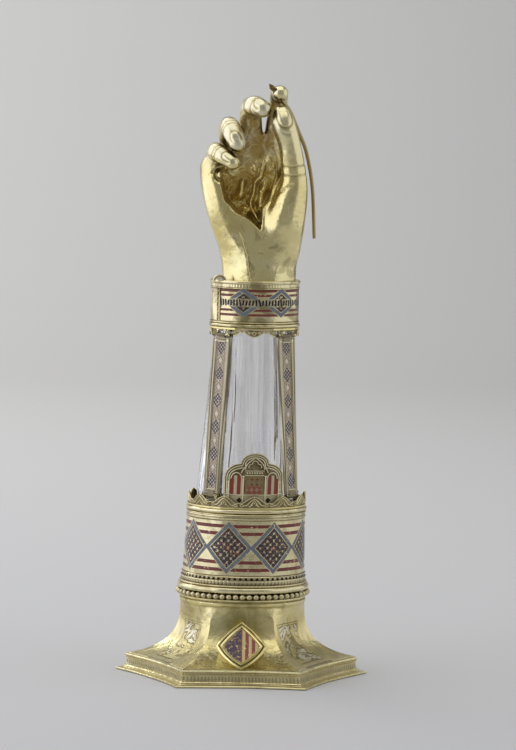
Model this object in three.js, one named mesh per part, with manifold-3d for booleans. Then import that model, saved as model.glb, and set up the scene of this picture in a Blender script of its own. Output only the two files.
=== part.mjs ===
// Arm reliquary: a gilt hand with a quill on a rock crystal arm, an enamelled drum and a hexagonal foot.
// Millimetres, +Z up. The origin is the centre of the foot's underside, and the front looks along -Y.
import * as THREE from "three";
import { mergeVertices } from "three/addons/utils/BufferGeometryUtils.js";
import Module from "manifold-3d";

const wasm = await Module();
wasm.setup();

// Shared
const GAP = 0.3; // clearance between pieces that touch
const OVAL_STEPS = 28; // points round an oval ring

// Foot
const FLANGE_CORNER = 103; // axis to a corner of the thin flange
const FLANGE_THICKNESS = 1.4;
const MOULDING_CORNER = 95; // axis to a corner of the stamped moulding
const MOULDING_HEIGHT = 13;
const FOOT_HEIGHT = 64.2;
const FOOT_WALL = 1.8;
const FOOT_SIDE_HOLLOW = 3.6; // how far each side of the hexagon curves in
const FOOT_SIDE_STEPS = 4;
const COLLAR_WIDTH = 103;
const COLLAR_DEPTH = 88;

// Beaded ring
const BEAD_RADIUS = 2.2;
const BEAD_COUNT = 56;
const BEAD_RING_WIDTH = 105.6; // across the line through the beads' centres
const BEAD_RING_DEPTH = 90.6;

// Drum
const DRUM_HEIGHT = 67.8;
const DRUM_WIDTH = 100.6; // of the enamelled wall at its lower edge
const DRUM_DEPTH = 85;
const DRUM_TAPER = 5; // how much narrower the wall is at its upper edge
const DRUM_WALL = 2.4;
const DRUM_TURN = 7.5; // degrees that the cresting and the gable are turned to the right

// Plates that close the relic chamber
const PLATE_THICKNESS = 1.5;

// Leaf cresting on the drum
const CREST_COUNT = 12;
const CREST_HEIGHT = 9.4;
const CREST_VALLEY = 2.2;
const CREST_THICKNESS = 1.2;

// Rock crystal
const CRYSTAL_HEIGHT = 142.1;
const CRYSTAL_MARGIN = 6.1; // from the drum's upper edge in to the crystal, where the hinges stand
const CRYSTAL_HIGH_WIDTH = 63.6;
const CRYSTAL_HIGH_DEPTH = 53;
const CRYSTAL_WALL = 5.5;
const ARM_LEAN = 5.5; // the arm's shift to its right at the top of the crystal

// Straps
const STRAP_LOW_WIDTH = 15.2;
const STRAP_HIGH_WIDTH = 19;
const STRAP_THICKNESS = 2.6;
const STRAP_BORDER = 2.2;
const STRAP_RECESS = 0.8;
const STRAP_GABLE_GAP = 0.77; // between the gable's sides and the ends of the pins next to them
const STRAP_HIGH = 49; // degrees from the front or back at the top, as an angle of the crystal's oval
const STRAP_STANDOFF = 0.65; // between a strap's back and the crystal
const HINGE_RADIUS = 1.7;
const PIN_RADIUS = 0.7;
const HINGE_RISE_LOW = 8; // lower pin above the drum's plate
const HINGE_DROP_HIGH = 4.6; // upper pin below the cuff's plate
const KNUCKLE_LENGTH = 7;
const PIN_END = 1.4; // how far a pin stands out at each end

// Gable plaque
const GABLE_WIDTH = 47.8;
const GABLE_HEIGHT = 43.7;
const GABLE_THICKNESS = 2.2;
const GABLE_RIM = 2.4;
const GABLE_RIM_RISE = 0.9;

// Wrist cuff
const CUFF_HEIGHT = 37.7;
const CUFF_MARGIN = 4; // from the crystal's upper edge out to the cuff, above the hinges
const CUFF_WALL = 2.2;
const CUFF_TORUS = 1.3; // how far the end mouldings stand out
const PENDANT_DROP = 5.6;
const PENDANT_FRONT_REACH = 28; // degrees to each side of the front and back
const PENDANT_SIDE_REACH = 18;
const PENDANT_THICKNESS = 1.2;

// Hand and quill
const HAND_LENGTH = 160; // from the cuff's rim to the top of the forefinger
const WRIST_WIDTH = 59.4;
const WRIST_DEPTH = 47;
const WRIST_OFFSET = 3.3; // the wrist stands to the right in its cuff
const QUILL_WIDTH = 3;
const QUILL_THICKNESS = 2.2;

// Enamelled shields on the foot
const SHIELD_WIDTH = 38;
const SHIELD_HEIGHT = 43;
const SHIELD_RIM = 3;
const SHIELD_RIM_RISE = 1;
const SHIELD_PLATE = 2.4;
const SHIELD_SEAT = 16; // how far the box behind the plate reaches into the slope

// Levels that follow from the sizes
const ringCentreZ = FOOT_HEIGHT + GAP + BEAD_RADIUS;
const drumZ = ringCentreZ + BEAD_RADIUS + GAP;
const drumTopZ = drumZ + DRUM_HEIGHT;
const floorZ = drumTopZ + GAP;
const floorTopZ = floorZ + PLATE_THICKNESS;
const crystalZ = floorTopZ + GAP;
const crystalTopZ = crystalZ + CRYSTAL_HEIGHT;
const ceilingZ = crystalTopZ + GAP;
const ceilingTopZ = ceilingZ + PLATE_THICKNESS;
const cuffZ = ceilingTopZ + GAP;
const cuffTopZ = cuffZ + CUFF_HEIGHT;

// Widths and depths that follow from the sizes
const drumTopWidth = DRUM_WIDTH - DRUM_TAPER;
const drumTopDepth = DRUM_DEPTH - DRUM_TAPER;
const crystalLowWidth = drumTopWidth - 2 * CRYSTAL_MARGIN;
const crystalLowDepth = drumTopDepth - 2 * CRYSTAL_MARGIN;
const cuffWidth = CRYSTAL_HIGH_WIDTH + 2 * CUFF_MARGIN;
const cuffDepth = CRYSTAL_HIGH_DEPTH + 2 * CUFF_MARGIN;
const crystalLowRadius = (crystalLowWidth + crystalLowDepth) / 4;
const gableReach = THREE.MathUtils.radToDeg(Math.asin(GABLE_WIDTH / (crystalLowWidth + 2 * GAP)));
const strapReach = STRAP_LOW_WIDTH / 2 + PIN_END + STRAP_GABLE_GAP;
const strapBeside = THREE.MathUtils.radToDeg(strapReach / crystalLowRadius);
const strapLowLeft = gableReach - DRUM_TURN + strapBeside;
const strapLowRight = gableReach + DRUM_TURN + strapBeside;

// Finishes
const gilt = { color: 0xcdb877, roughness: 0.3, metalness: 1 };
const darkGilt = { color: 0x8f7a3c, roughness: 0.4, metalness: 1 };
const rockCrystal = { color: 0xf2f5f7, roughness: 0.05, metalness: 0, transparent: true, opacity: 0.35 };

// A closed geometry from points and triangles, turned so that its faces look out
function closedGeometry(points, triangles) {
  let volume = 0;
  for (const [a, b, c] of triangles) {
    volume += points[a].dot(new THREE.Vector3().crossVectors(points[b], points[c]));
  }
  const facing = volume < 0 ? triangles.map(([a, b, c]) => [a, c, b]) : triangles;
  const geometry = new THREE.BufferGeometry().setFromPoints(points);
  return geometry.setIndex(facing.flat());
}

// Rings of equal length joined by faces; a looped loft closes on itself, another one is capped
function loft(rings, looped = false) {
  const count = rings[0].length;
  const points = rings.flat();
  const triangles = [];
  const strips = looped ? rings.length : rings.length - 1;
  for (let i = 0; i < strips; i++) {
    const low = i * count;
    const high = ((i + 1) % rings.length) * count;
    for (let j = 0; j < count; j++) {
      const k = (j + 1) % count;
      triangles.push([low + j, low + k, high + k], [low + j, high + k, high + j]);
    }
  }
  if (!looped) {
    for (const [start, flip] of [[0, true], [(rings.length - 1) * count, false]]) {
      const centre = new THREE.Vector3();
      for (let j = 0; j < count; j++) centre.addScaledVector(points[start + j], 1 / count);
      points.push(centre);
      for (let j = 0; j < count; j++) {
        const pair = [start + j, start + ((j + 1) % count)];
        triangles.push(flip ? [pair[1], pair[0], points.length - 1] : [pair[0], pair[1], points.length - 1]);
      }
    }
  }
  return closedGeometry(points, triangles);
}

function ovalRing(width, depth, z, centreX = 0, steps = OVAL_STEPS) {
  return Array.from({ length: steps }, (_, i) => {
    const angle = (i / steps) * 2 * Math.PI;
    return new THREE.Vector3(centreX + (width / 2) * Math.cos(angle), (depth / 2) * Math.sin(angle), z);
  });
}

// A point of an oval, where turn 0 looks to the front and a positive turn goes to the right
function ovalPoint(width, depth, turn, z) {
  return new THREE.Vector3((width / 2) * Math.sin(turn), (-depth / 2) * Math.cos(turn), z);
}

// The arm leans: each piece above the foot shifts to its right with its height
function onArm(geometry) {
  const position = geometry.attributes.position;
  for (let i = 0; i < position.count; i++) {
    const rise = THREE.MathUtils.clamp((position.getZ(i) - drumZ) / (crystalTopZ - drumZ), 0, 1);
    position.setX(i, position.getX(i) + ARM_LEAN * rise);
  }
  return geometry;
}

function toSolid(geometry) {
  const bare = geometry.clone();
  bare.deleteAttribute("normal");
  bare.deleteAttribute("uv");
  const merged = mergeVertices(bare, 1e-4);
  return new wasm.Manifold(
    new wasm.Mesh({
      numProp: 3,
      vertProperties: new Float32Array(merged.attributes.position.array),
      triVerts: new Uint32Array(merged.index.array),
    }),
  );
}

function toGeometry(solid) {
  const mesh = solid.getMesh();
  const geometry = new THREE.BufferGeometry();
  geometry.setAttribute("position", new THREE.BufferAttribute(new Float32Array(mesh.vertProperties), 3));
  return geometry.setIndex(new THREE.BufferAttribute(new Uint32Array(mesh.triVerts), 1));
}

function joined(geometries) {
  return geometries.map(toSolid).reduce((whole, piece) => whole.add(piece));
}

// Foot: each level goes from a hollow-sided hexagon to the collar's oval
function footRing(corner, z, roundness, grow = 0) {
  const ring = [];
  const corners = Array.from({ length: 6 }, (_, i) => {
    const angle = (i * Math.PI) / 3;
    return new THREE.Vector2(Math.cos(angle), Math.sin(angle)).multiplyScalar(corner + grow);
  });
  const hollow = (FOOT_SIDE_HOLLOW * corner) / FLANGE_CORNER;
  for (let side = 0; side < 6; side++) {
    for (let step = 0; step < FOOT_SIDE_STEPS; step++) {
      const share = step / FOOT_SIDE_STEPS;
      const flat = corners[side].clone().lerp(corners[(side + 1) % 6], share);
      const inward = flat.clone().normalize().multiplyScalar(-hollow * 4 * share * (1 - share));
      flat.add(inward);
      const angle = ((side + share) * Math.PI) / 3;
      const oval = new THREE.Vector2(
        (corner + grow) * Math.cos(angle),
        (corner + grow) * (COLLAR_DEPTH / COLLAR_WIDTH) * Math.sin(angle),
      );
      flat.lerp(oval, roundness);
      ring.push(new THREE.Vector3(flat.x, flat.y, z));
    }
  }
  return ring;
}

// The foot's outer levels: corner radius, height, roundness; the cavetto is a quarter curve
function footLevels() {
  const collar = COLLAR_WIDTH / 2;
  const slopeStart = MOULDING_CORNER - 3;
  const levels = [
    [FLANGE_CORNER, 0, 0],
    [FLANGE_CORNER, FLANGE_THICKNESS, 0],
    [MOULDING_CORNER + 0.6, FLANGE_THICKNESS + 0.6, 0],
    [MOULDING_CORNER - 0.9, MOULDING_HEIGHT * 0.3, 0],
    [MOULDING_CORNER - 1.4, MOULDING_HEIGHT * 0.74, 0],
    [MOULDING_CORNER, MOULDING_HEIGHT * 0.84, 0],
    [MOULDING_CORNER - 0.6, MOULDING_HEIGHT, 0],
  ];
  const slopeSteps = 6;
  const slopeTop = FOOT_HEIGHT - 6;
  for (let i = 0; i <= slopeSteps; i++) {
    const share = i / slopeSteps;
    const sweep = (1 - share) ** 3;
    const corner = collar - 0.8 + (slopeStart - collar + 0.8) * sweep;
    const climb = Math.pow(share, 1.25);
    const z = MOULDING_HEIGHT + 0.8 + (slopeTop - MOULDING_HEIGHT - 0.8) * climb;
    levels.push([corner, z, Math.pow(share, 3)]);
  }
  levels.push([collar, FOOT_HEIGHT - 4.6, 1], [collar, FOOT_HEIGHT, 1]);
  return levels;
}

function footGeometry() {
  const outer = footLevels().map(([corner, z, round]) => footRing(corner, z, round));
  const inner = footLevels()
    .filter(([, z]) => z >= MOULDING_HEIGHT)
    .map(([corner, z, round]) => footRing(corner - FOOT_WALL * 1.3, z - FOOT_WALL * (1 - round), round));
  const underside = footRing(MOULDING_CORNER - 0.9 - FOOT_WALL * 1.3, 0, 0);
  return loft([...outer, ...inner.reverse(), underside], true);
}

// The shield's outline: a pointed top, straight shoulders and curved lower sides
function shieldShape(width, height) {
  const shape = new THREE.Shape();
  shape.moveTo(0, height * 0.52);
  shape.lineTo(-width / 2, 0);
  shape.quadraticCurveTo(-width * 0.36, -height * 0.3, 0, -height * 0.48);
  shape.quadraticCurveTo(width * 0.36, -height * 0.3, width / 2, 0);
  shape.closePath();
  return shape;
}

function extruded(shape, depth, segments = 4) {
  return new THREE.ExtrudeGeometry(shape, { depth, bevelEnabled: false, curveSegments: segments });
}

// A shield lies as a chord over the foot's hollow slope, and its box is cut to the slope behind it
function shieldGeometry(footBlock) {
  const lowZ = MOULDING_HEIGHT + 1.5;
  const highZ = lowZ + SHIELD_HEIGHT * 0.74;
  const lowOut = (MOULDING_CORNER - 3) * Math.cos(Math.PI / 6) - FOOT_SIDE_HOLLOW;
  const run = Math.sqrt(SHIELD_HEIGHT ** 2 - (highZ - lowZ) ** 2);
  const tilt = Math.atan2(run, highZ - lowZ);
  const box = toSolid(extruded(shieldShape(SHIELD_WIDTH, SHIELD_HEIGHT), SHIELD_PLATE + SHIELD_SEAT));
  const sunk = extruded(shieldShape(SHIELD_WIDTH - 2 * SHIELD_RIM, SHIELD_HEIGHT - 2 * SHIELD_RIM), 4);
  sunk.translate(0, 0, SHIELD_PLATE + SHIELD_SEAT - SHIELD_RIM_RISE);
  const place = new THREE.Group();
  const lean = new THREE.Group();
  lean.add(place);
  place.position.set(0, SHIELD_HEIGHT * 0.48, -SHIELD_SEAT);
  lean.rotation.x = Math.PI / 2 - tilt;
  lean.position.set(0, -lowOut, lowZ);
  lean.updateMatrixWorld(true);
  const geometry = toGeometry(box.subtract(toSolid(sunk))).applyMatrix4(place.matrixWorld);
  return toGeometry(toSolid(geometry).subtract(footBlock));
}

// Beaded ring: a closed tube whose section swells at each bead
function beadedRingGeometry() {
  const stations = BEAD_COUNT * 2;
  const sides = 4;
  const rings = [];
  for (let i = 0; i < stations; i++) {
    const angle = (i / stations) * 2 * Math.PI;
    const radius = BEAD_RADIUS * (i % 2 ? 0.52 : 1);
    const centre = new THREE.Vector3(
      (BEAD_RING_WIDTH / 2) * Math.cos(angle),
      (BEAD_RING_DEPTH / 2) * Math.sin(angle),
      ringCentreZ,
    );
    const out = new THREE.Vector3(Math.cos(angle), Math.sin(angle), 0);
    const ring = [];
    for (let j = 0; j < sides; j++) {
      const around = (j / sides) * 2 * Math.PI;
      const point = centre.clone().addScaledVector(out, radius * Math.cos(around));
      point.z += radius * Math.sin(around);
      ring.push(point);
    }
    rings.push(ring);
  }
  return loft(rings, true);
}

// A hollow oval sleeve: outer levels are [stand-out, height] from a tapering wall
function sleeveGeometry(levels, width, depth, taper, z, height, wall, centreX = 0) {
  const at = (standOut, rise, inset) => {
    const narrowing = (taper * rise) / height;
    const grow = 2 * (standOut - inset) - narrowing;
    return ovalRing(width + grow, depth + grow, z + rise, centreX);
  };
  const outer = levels.map(([standOut, rise]) => at(standOut, rise, 0));
  return loft([...outer, at(0, height, wall), at(0, 0, wall)], true);
}

function drumGeometry() {
  const levels = [
    [2.6, 0],
    [3.6, 1.6],
    [3.3, 3.6],
    [1.6, 5.2],
    [1.2, 8.2],
    [0.9, 12.6],
    [0, 13.4],
    [0, DRUM_HEIGHT - 8.4],
    [1.2, DRUM_HEIGHT - 7.2],
    [0.5, DRUM_HEIGHT - 4.6],
    [1.5, DRUM_HEIGHT - 2.6],
    [1.4, DRUM_HEIGHT],
  ];
  return onArm(sleeveGeometry(levels, DRUM_WIDTH, DRUM_DEPTH, DRUM_TAPER, drumZ, DRUM_HEIGHT, DRUM_WALL));
}

function plateGeometry(width, depth, z) {
  return onArm(loft([ovalRing(width, depth, z), ovalRing(width, depth, z + PLATE_THICKNESS)]));
}

// A thin upright band on an oval, all round or over an arc; edge(turn) gives where its free edge is
function bandGeometry(width, depth, thickness, fixedZ, stations, edge, from = 0, to = 2 * Math.PI) {
  const rings = [];
  const whole = to - from > 2 * Math.PI - 0.001;
  for (let i = 0; i < stations; i++) {
    const turn = from + ((to - from) * i) / (whole ? stations : stations - 1);
    const freeZ = edge(turn);
    rings.push([
      ovalPoint(width, depth, turn, fixedZ),
      ovalPoint(width, depth, turn, freeZ),
      ovalPoint(width - 2 * thickness, depth - 2 * thickness, turn, freeZ),
      ovalPoint(width - 2 * thickness, depth - 2 * thickness, turn, fixedZ),
    ]);
  }
  return onArm(loft(rings, whole));
}

function crestingGeometry() {
  const start = THREE.MathUtils.degToRad(DRUM_TURN);
  const edge = (turn) => {
    const phase = Math.abs((((turn - start) * CREST_COUNT) / (2 * Math.PI)) % 1 - 0.5) * 2;
    return crystalZ + CREST_VALLEY + (CREST_HEIGHT - CREST_VALLEY) * Math.pow(phase, 1.6);
  };
  const stations = CREST_COUNT * 4;
  const end = start + 2 * Math.PI;
  return bandGeometry(drumTopWidth, drumTopDepth, CREST_THICKNESS, crystalZ, stations, edge, start, end);
}

const crystalWidthAt = (z) => {
  const rise = (z - crystalZ) / CRYSTAL_HEIGHT;
  return THREE.MathUtils.lerp(crystalLowWidth, CRYSTAL_HIGH_WIDTH, rise);
};
const crystalDepthAt = (z) => {
  const rise = (z - crystalZ) / CRYSTAL_HEIGHT;
  return THREE.MathUtils.lerp(crystalLowDepth, CRYSTAL_HIGH_DEPTH, rise);
};

function crystalGeometry() {
  const steps = 2;
  const heights = Array.from({ length: steps + 1 }, (_, i) => crystalZ + (CRYSTAL_HEIGHT * i) / steps);
  const ring = (z, inset) => ovalRing(crystalWidthAt(z) - inset, crystalDepthAt(z) - inset, z);
  const wall = (inset) => heights.map((z) => ring(z, inset));
  return onArm(loft([...wall(0), ...wall(2 * CRYSTAL_WALL).reverse()], true));
}

// A strap's frame at a height: centre on the crystal's face, the way across it and the way out
function strapFrame(turns, z) {
  const turn = THREE.MathUtils.degToRad(
    THREE.MathUtils.mapLinear(z, crystalZ, crystalTopZ, turns.low, turns.high),
  );
  const reach = 2 * STRAP_STANDOFF;
  const centre = ovalPoint(crystalWidthAt(z) + reach, crystalDepthAt(z) + reach, turn, z);
  const out = new THREE.Vector3(
    Math.sin(turn) * crystalDepthAt(z),
    -Math.cos(turn) * crystalWidthAt(z),
    0,
  ).normalize();
  const across = new THREE.Vector3(-out.y, out.x, 0);
  return { centre, out, across };
}

function strapWidthAt(z) {
  return THREE.MathUtils.mapLinear(z, strapLowZ, strapHighZ, STRAP_LOW_WIDTH, STRAP_HIGH_WIDTH);
}

function strapSection(turns, z, recess) {
  const { centre, out, across } = strapFrame(turns, z);
  const half = strapWidthAt(z) / 2;
  const inner = half - STRAP_BORDER;
  const bevel = 0.6;
  const outline = [
    [-half, 0],
    [half, 0],
    [half, STRAP_THICKNESS],
    [inner, STRAP_THICKNESS],
    [inner - bevel, STRAP_THICKNESS - recess],
    [bevel - inner, STRAP_THICKNESS - recess],
    [-inner, STRAP_THICKNESS],
    [-half, STRAP_THICKNESS],
  ];
  return outline.map(([u, n]) => centre.clone().addScaledVector(across, u).addScaledVector(out, n));
}

const lowHingeZ = floorTopZ + HINGE_RISE_LOW;
const highHingeZ = ceilingZ - HINGE_DROP_HIGH;
const strapLowZ = lowHingeZ + HINGE_RADIUS + GAP;
const strapHighZ = highHingeZ - HINGE_RADIUS - GAP;

// Turns a geometry made with its length along Y to lie along the strap's width
function alongWidth(geometry, frame, offset) {
  const basis = new THREE.Matrix4().makeBasis(frame.out, frame.across, new THREE.Vector3(0, 0, 1));
  const origin = frame.centre.clone().addScaledVector(frame.across, offset);
  return geometry.applyMatrix4(basis).translate(origin.x, origin.y, origin.z);
}

function hingeFrame(turns, z) {
  const frame = strapFrame(turns, z);
  frame.centre.addScaledVector(frame.out, HINGE_RADIUS);
  return frame;
}

// A barrel with a bore and a flat leaf that runs from it to a height, up or down
function knuckle(frame, offset, length, toZ) {
  const reach = toZ - frame.centre.z;
  const up = Math.sign(reach);
  const leaf = HINGE_RADIUS * 0.6;
  const shape = new THREE.Shape();
  const arc = [-0.25, 0.05, 0.35, 0.65, 0.95, 1.25].map((share) => share * Math.PI);
  shape.moveTo(leaf, up * Math.abs(reach));
  for (const angle of arc) {
    shape.lineTo(HINGE_RADIUS * Math.cos(angle), -up * HINGE_RADIUS * Math.sin(angle));
  }
  shape.lineTo(-leaf, up * Math.abs(reach));
  shape.closePath();
  const bore = new THREE.Path();
  const boreSides = 5;
  for (let i = 0; i < boreSides; i++) {
    const angle = (i / boreSides) * 2 * Math.PI;
    const radius = (PIN_RADIUS + GAP) / Math.cos(Math.PI / boreSides);
    if (i === 0) bore.moveTo(radius * Math.cos(angle), radius * Math.sin(angle));
    else bore.lineTo(radius * Math.cos(angle), radius * Math.sin(angle));
  }
  bore.closePath();
  shape.holes.push(bore);
  const barrel = extruded(shape, length).rotateX(Math.PI / 2).translate(0, length / 2, 0);
  return alongWidth(barrel, frame, offset);
}

function strapSolid(turns) {
  const border = STRAP_BORDER + 0.6;
  const sections = [
    strapSection(turns, strapLowZ, 0),
    strapSection(turns, strapLowZ + STRAP_BORDER, 0),
    strapSection(turns, strapLowZ + border, STRAP_RECESS),
    strapSection(turns, strapHighZ - border, STRAP_RECESS),
    strapSection(turns, strapHighZ - STRAP_BORDER, 0),
    strapSection(turns, strapHighZ, 0),
  ];
  const low = hingeFrame(turns, lowHingeZ);
  const high = hingeFrame(turns, highHingeZ);
  const overlap = 1;
  return onArm(
    toGeometry(
      joined([
        loft(sections),
        knuckle(low, 0, KNUCKLE_LENGTH, strapLowZ + overlap),
        knuckle(high, 0, KNUCKLE_LENGTH, strapHighZ - overlap),
      ]),
    ),
  );
}

// The fork that holds a pin: two barrels on posts from one bar
function hingeBracket(turns, z, plateZ) {
  const frame = hingeFrame(turns, z);
  const width = strapWidthAt(z);
  const side = (width - KNUCKLE_LENGTH) / 2 - GAP;
  const offset = (width - side) / 2;
  const up = Math.sign(plateZ - z);
  const barThickness = 1;
  const bar = new THREE.BoxGeometry(HINGE_RADIUS * 1.4, width, barThickness);
  bar.translate(0, 0, plateZ - (up * barThickness) / 2 - z);
  const pieces = [alongWidth(bar, frame, 0)];
  for (const end of [-offset, offset]) {
    pieces.push(knuckle(frame, end, side - 0.02, plateZ - up * barThickness * 0.5));
  }
  return onArm(toGeometry(joined(pieces)));
}

function hingePin(turns, z) {
  const pin = new THREE.CylinderGeometry(PIN_RADIUS, PIN_RADIUS, strapWidthAt(z) + 2 * PIN_END, 6);
  return onArm(alongWidth(pin, hingeFrame(turns, z), 0));
}

// Gable: a round arch between two lower half arches; the plaque bends with the crystal
function gableTop(x) {
  const archHalf = GABLE_WIDTH * 0.243;
  const spring = GABLE_HEIGHT * 0.813;
  const shoulder = GABLE_HEIGHT * 0.55;
  const out = Math.abs(x);
  if (out <= archHalf) {
    return spring + (GABLE_HEIGHT - spring) * Math.sqrt(1 - (out / archHalf) ** 2);
  }
  const share = (out - archHalf) / (GABLE_WIDTH / 2 - archHalf);
  return shoulder + (spring - shoulder) * Math.sqrt(Math.max(0, 1 - share ** 2));
}

function gableGeometry() {
  const half = GABLE_WIDTH / 2;
  const rimEdge = half - GABLE_RIM;
  const steps = 14;
  const places = Array.from({ length: steps + 1 }, (_, i) => -half + (GABLE_WIDTH * i) / steps);
  places.push(-rimEdge, rimEdge, -rimEdge + 0.4, rimEdge - 0.4);
  places.sort((a, b) => a - b);
  const rings = places.map((x) => {
    const sunk = Math.abs(x) < rimEdge - 0.2 ? GABLE_RIM_RISE : 0;
    const front = GABLE_THICKNESS + GABLE_RIM_RISE;
    const top = gableTop(x);
    const rimLow = Math.max(gableTop(x) - GABLE_RIM * 1.3, GABLE_HEIGHT * 0.3);
    const outline = [
      [0, 0],
      [0, top],
      [front, top],
      [front, rimLow],
      [front - sunk, rimLow - 0.4],
      [front - sunk, GABLE_HEIGHT * 0.2 + 0.4],
      [front, GABLE_HEIGHT * 0.2],
      [front, 0],
    ];
    return outline.map(([depth, rise]) => {
      const reach = crystalLowDepth / 2 + GAP + depth;
      const span = crystalLowWidth / 2 + GAP + depth;
      const turn = Math.asin(x / span) + THREE.MathUtils.degToRad(DRUM_TURN);
      return ovalPoint(2 * span, 2 * reach, turn, crystalZ + rise);
    });
  });
  return onArm(loft(rings));
}

// Cuff: mouldings at both ends, and a top ledge that closes in on the wrist
function cuffGeometry() {
  const outer = [
    [CUFF_TORUS * 0.4, 0],
    [CUFF_TORUS, 1.3],
    [CUFF_TORUS * 0.9, 2.8],
    [0.3, 4],
    [0, CUFF_HEIGHT * 0.5],
    [0.2, CUFF_HEIGHT - 6.4],
    [0.8, CUFF_HEIGHT - 5.4],
    [0.6, CUFF_HEIGHT - 3.4],
    [CUFF_TORUS, CUFF_HEIGHT - 2.2],
    [CUFF_TORUS * 0.8, CUFF_HEIGHT],
  ].map(([out, rise]) => ovalRing(cuffWidth + 2 * out, cuffDepth + 2 * out, cuffZ + rise));
  const hole = (z) => ovalRing(WRIST_WIDTH + 2 * GAP, WRIST_DEPTH + 2 * GAP, z, WRIST_OFFSET);
  const inner = (z) => ovalRing(cuffWidth - 2 * CUFF_WALL, cuffDepth - 2 * CUFF_WALL, z);
  const ledge = [hole(cuffTopZ), hole(cuffTopZ - CUFF_WALL)];
  return onArm(loft([...outer, ...ledge, inner(cuffTopZ - CUFF_WALL - 1), inner(cuffZ)], true));
}

// Pendants below the cuff, as [share of the reach, share of the drop] from the middle of each arc
const PENDANT_EDGE = [[0, 1], [0.22, 0.8], [0.4, 0.4], [0.64, 0.3], [0.8, 0.7], [1, 0.95]];

function pendantGeometry(middle, reach) {
  const toRadians = THREE.MathUtils.degToRad;
  const topZ = ceilingZ - GAP;
  const edge = (turn) => {
    const share = Math.min(1, Math.abs(THREE.MathUtils.radToDeg(turn) - middle) / reach);
    const next = Math.max(1, PENDANT_EDGE.findIndex(([at]) => at >= share - 0.001));
    const [lowAt, low] = PENDANT_EDGE[next - 1];
    const [highAt, high] = PENDANT_EDGE[next];
    return topZ - PENDANT_DROP * THREE.MathUtils.mapLinear(share, lowAt, highAt, low, high);
  };
  const [width, depth] = [cuffWidth + 0.6, cuffDepth + 0.6];
  const [from, to] = [toRadians(middle - reach), toRadians(middle + reach)];
  return bandGeometry(width, depth, PENDANT_THICKNESS, topZ, 15, edge, from, to);
}

// A limb: rings round a smooth line through [x, y, z, radius], with rounded ends
function limb(joints, sides, steps) {
  const spots = joints.map(([x, y, z]) => new THREE.Vector3(x, y, z));
  const line = new THREE.CatmullRomCurve3(spots, false, "catmullrom", 0.5);
  const frames = line.computeFrenetFrames(steps, false);
  const rings = [];
  const addRing = (step, radius, along) => {
    const centre = line.getPointAt(step / steps).addScaledVector(frames.tangents[step], along);
    const ring = [];
    for (let j = 0; j < sides; j++) {
      const angle = (j / sides) * 2 * Math.PI;
      ring.push(
        centre
          .clone()
          .addScaledVector(frames.normals[step], radius * Math.cos(angle))
          .addScaledVector(frames.binormals[step], radius * Math.sin(angle)),
      );
    }
    rings.push(ring);
  };
  const radiusAt = (step) => {
    const t = line.getUtoTmapping(step / steps) * (joints.length - 1);
    const low = Math.min(Math.floor(t), joints.length - 2);
    return THREE.MathUtils.lerp(joints[low][3], joints[low + 1][3], t - low);
  };
  addRing(0, joints[0][3] * 0.6, -joints[0][3] * 0.7);
  for (let step = 0; step <= steps; step++) addRing(step, radiusAt(step), 0);
  const end = joints.at(-1)[3];
  addRing(steps, end * 0.8, end * 0.55);
  addRing(steps, end * 0.35, end * 0.88);
  return loft(rings);
}

// The hand's parts, drawn for a hand of 160 mm: [x, y, z above the cuff's rim, radius]
const DRAWN_HAND = 160;
const THUMB = [
  [24, -3, 27, 16.5],
  [29, -7, 51, 16],
  [35, -10, 77, 11.2],
  [31.5, -14.5, 108, 9],
  [26.5, -16.5, 124, 9.6],
  [24.5, -15.5, 134, 7.4],
];
const HEEL = [
  [-5, -1, 24, 14],
  [-16.5, -3, 51, 15],
  [-25.5, -2, 77, 13.5],
  [-28, 2, 90, 12.2],
];
const FOREFINGER = [
  [15, 13, 84, 10],
  [19, 15, 109, 8.4],
  [20.7, 14, 127, 8],
  [21.5, 8, 141, 7.6],
  [22, -2, 149.5, 7],
  [23, -12.5, 150.8, 6.2],
];
const MIDDLE_FINGER = [
  [0, 13, 91, 10],
  [0, 14, 112, 8.4],
  [-0.7, 10, 130, 8.4],
  [-0.5, 0, 139, 8.4],
  [3.5, -10, 140.5, 8],
  [9, -16.5, 138, 7.2],
];
const RING_FINGER = [
  [-13, 12, 87, 9.8],
  [-17, 12, 107, 8.5],
  [-18.5, 6, 120, 8.5],
  [-17.5, -5, 123, 8.4],
  [-14, -14, 117, 8],
  [-11, -18.5, 110, 7],
];
const LITTLE_FINGER = [
  [-24, 10, 81, 9.5],
  [-28, 9, 94, 8],
  [-28.5, 3, 102, 7.5],
  [-27.5, -7, 102.5, 7.5],
  [-21, -15, 99, 7],
  [-14.5, -19.5, 94.5, 6.2],
];
const PALM = [
  [8.3, 1, 25, 60.6, 43],
  [6.5, 2.5, 41, 66, 38],
  [2.5, 5, 59, 69, 32],
  [0, 7.5, 77, 69, 28],
  [-1, 9.5, 91, 66, 26],
  [3, 12, 104, 50, 18],
  [7, 13, 115, 36, 12],
];
const HOLLOW = { centre: [-2.5, -23, 79], radii: [21, 20, 39], lean: 15 };

const PALM_SIDES = 18;

const handScale = HAND_LENGTH / DRAWN_HAND;
const handX = ARM_LEAN;

function atHandScale(geometry) {
  geometry.scale(handScale, handScale, handScale);
  return geometry.translate(handX, 0, cuffTopZ);
}

// A place in the drawn hand, which stands on the foot's axis, as a place above the cuff
function fromDrawing(x, y, z) {
  const foot = new THREE.Vector3(handX, 0, cuffTopZ);
  return new THREE.Vector3(x - ARM_LEAN, y, z).multiplyScalar(handScale).add(foot);
}

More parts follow.
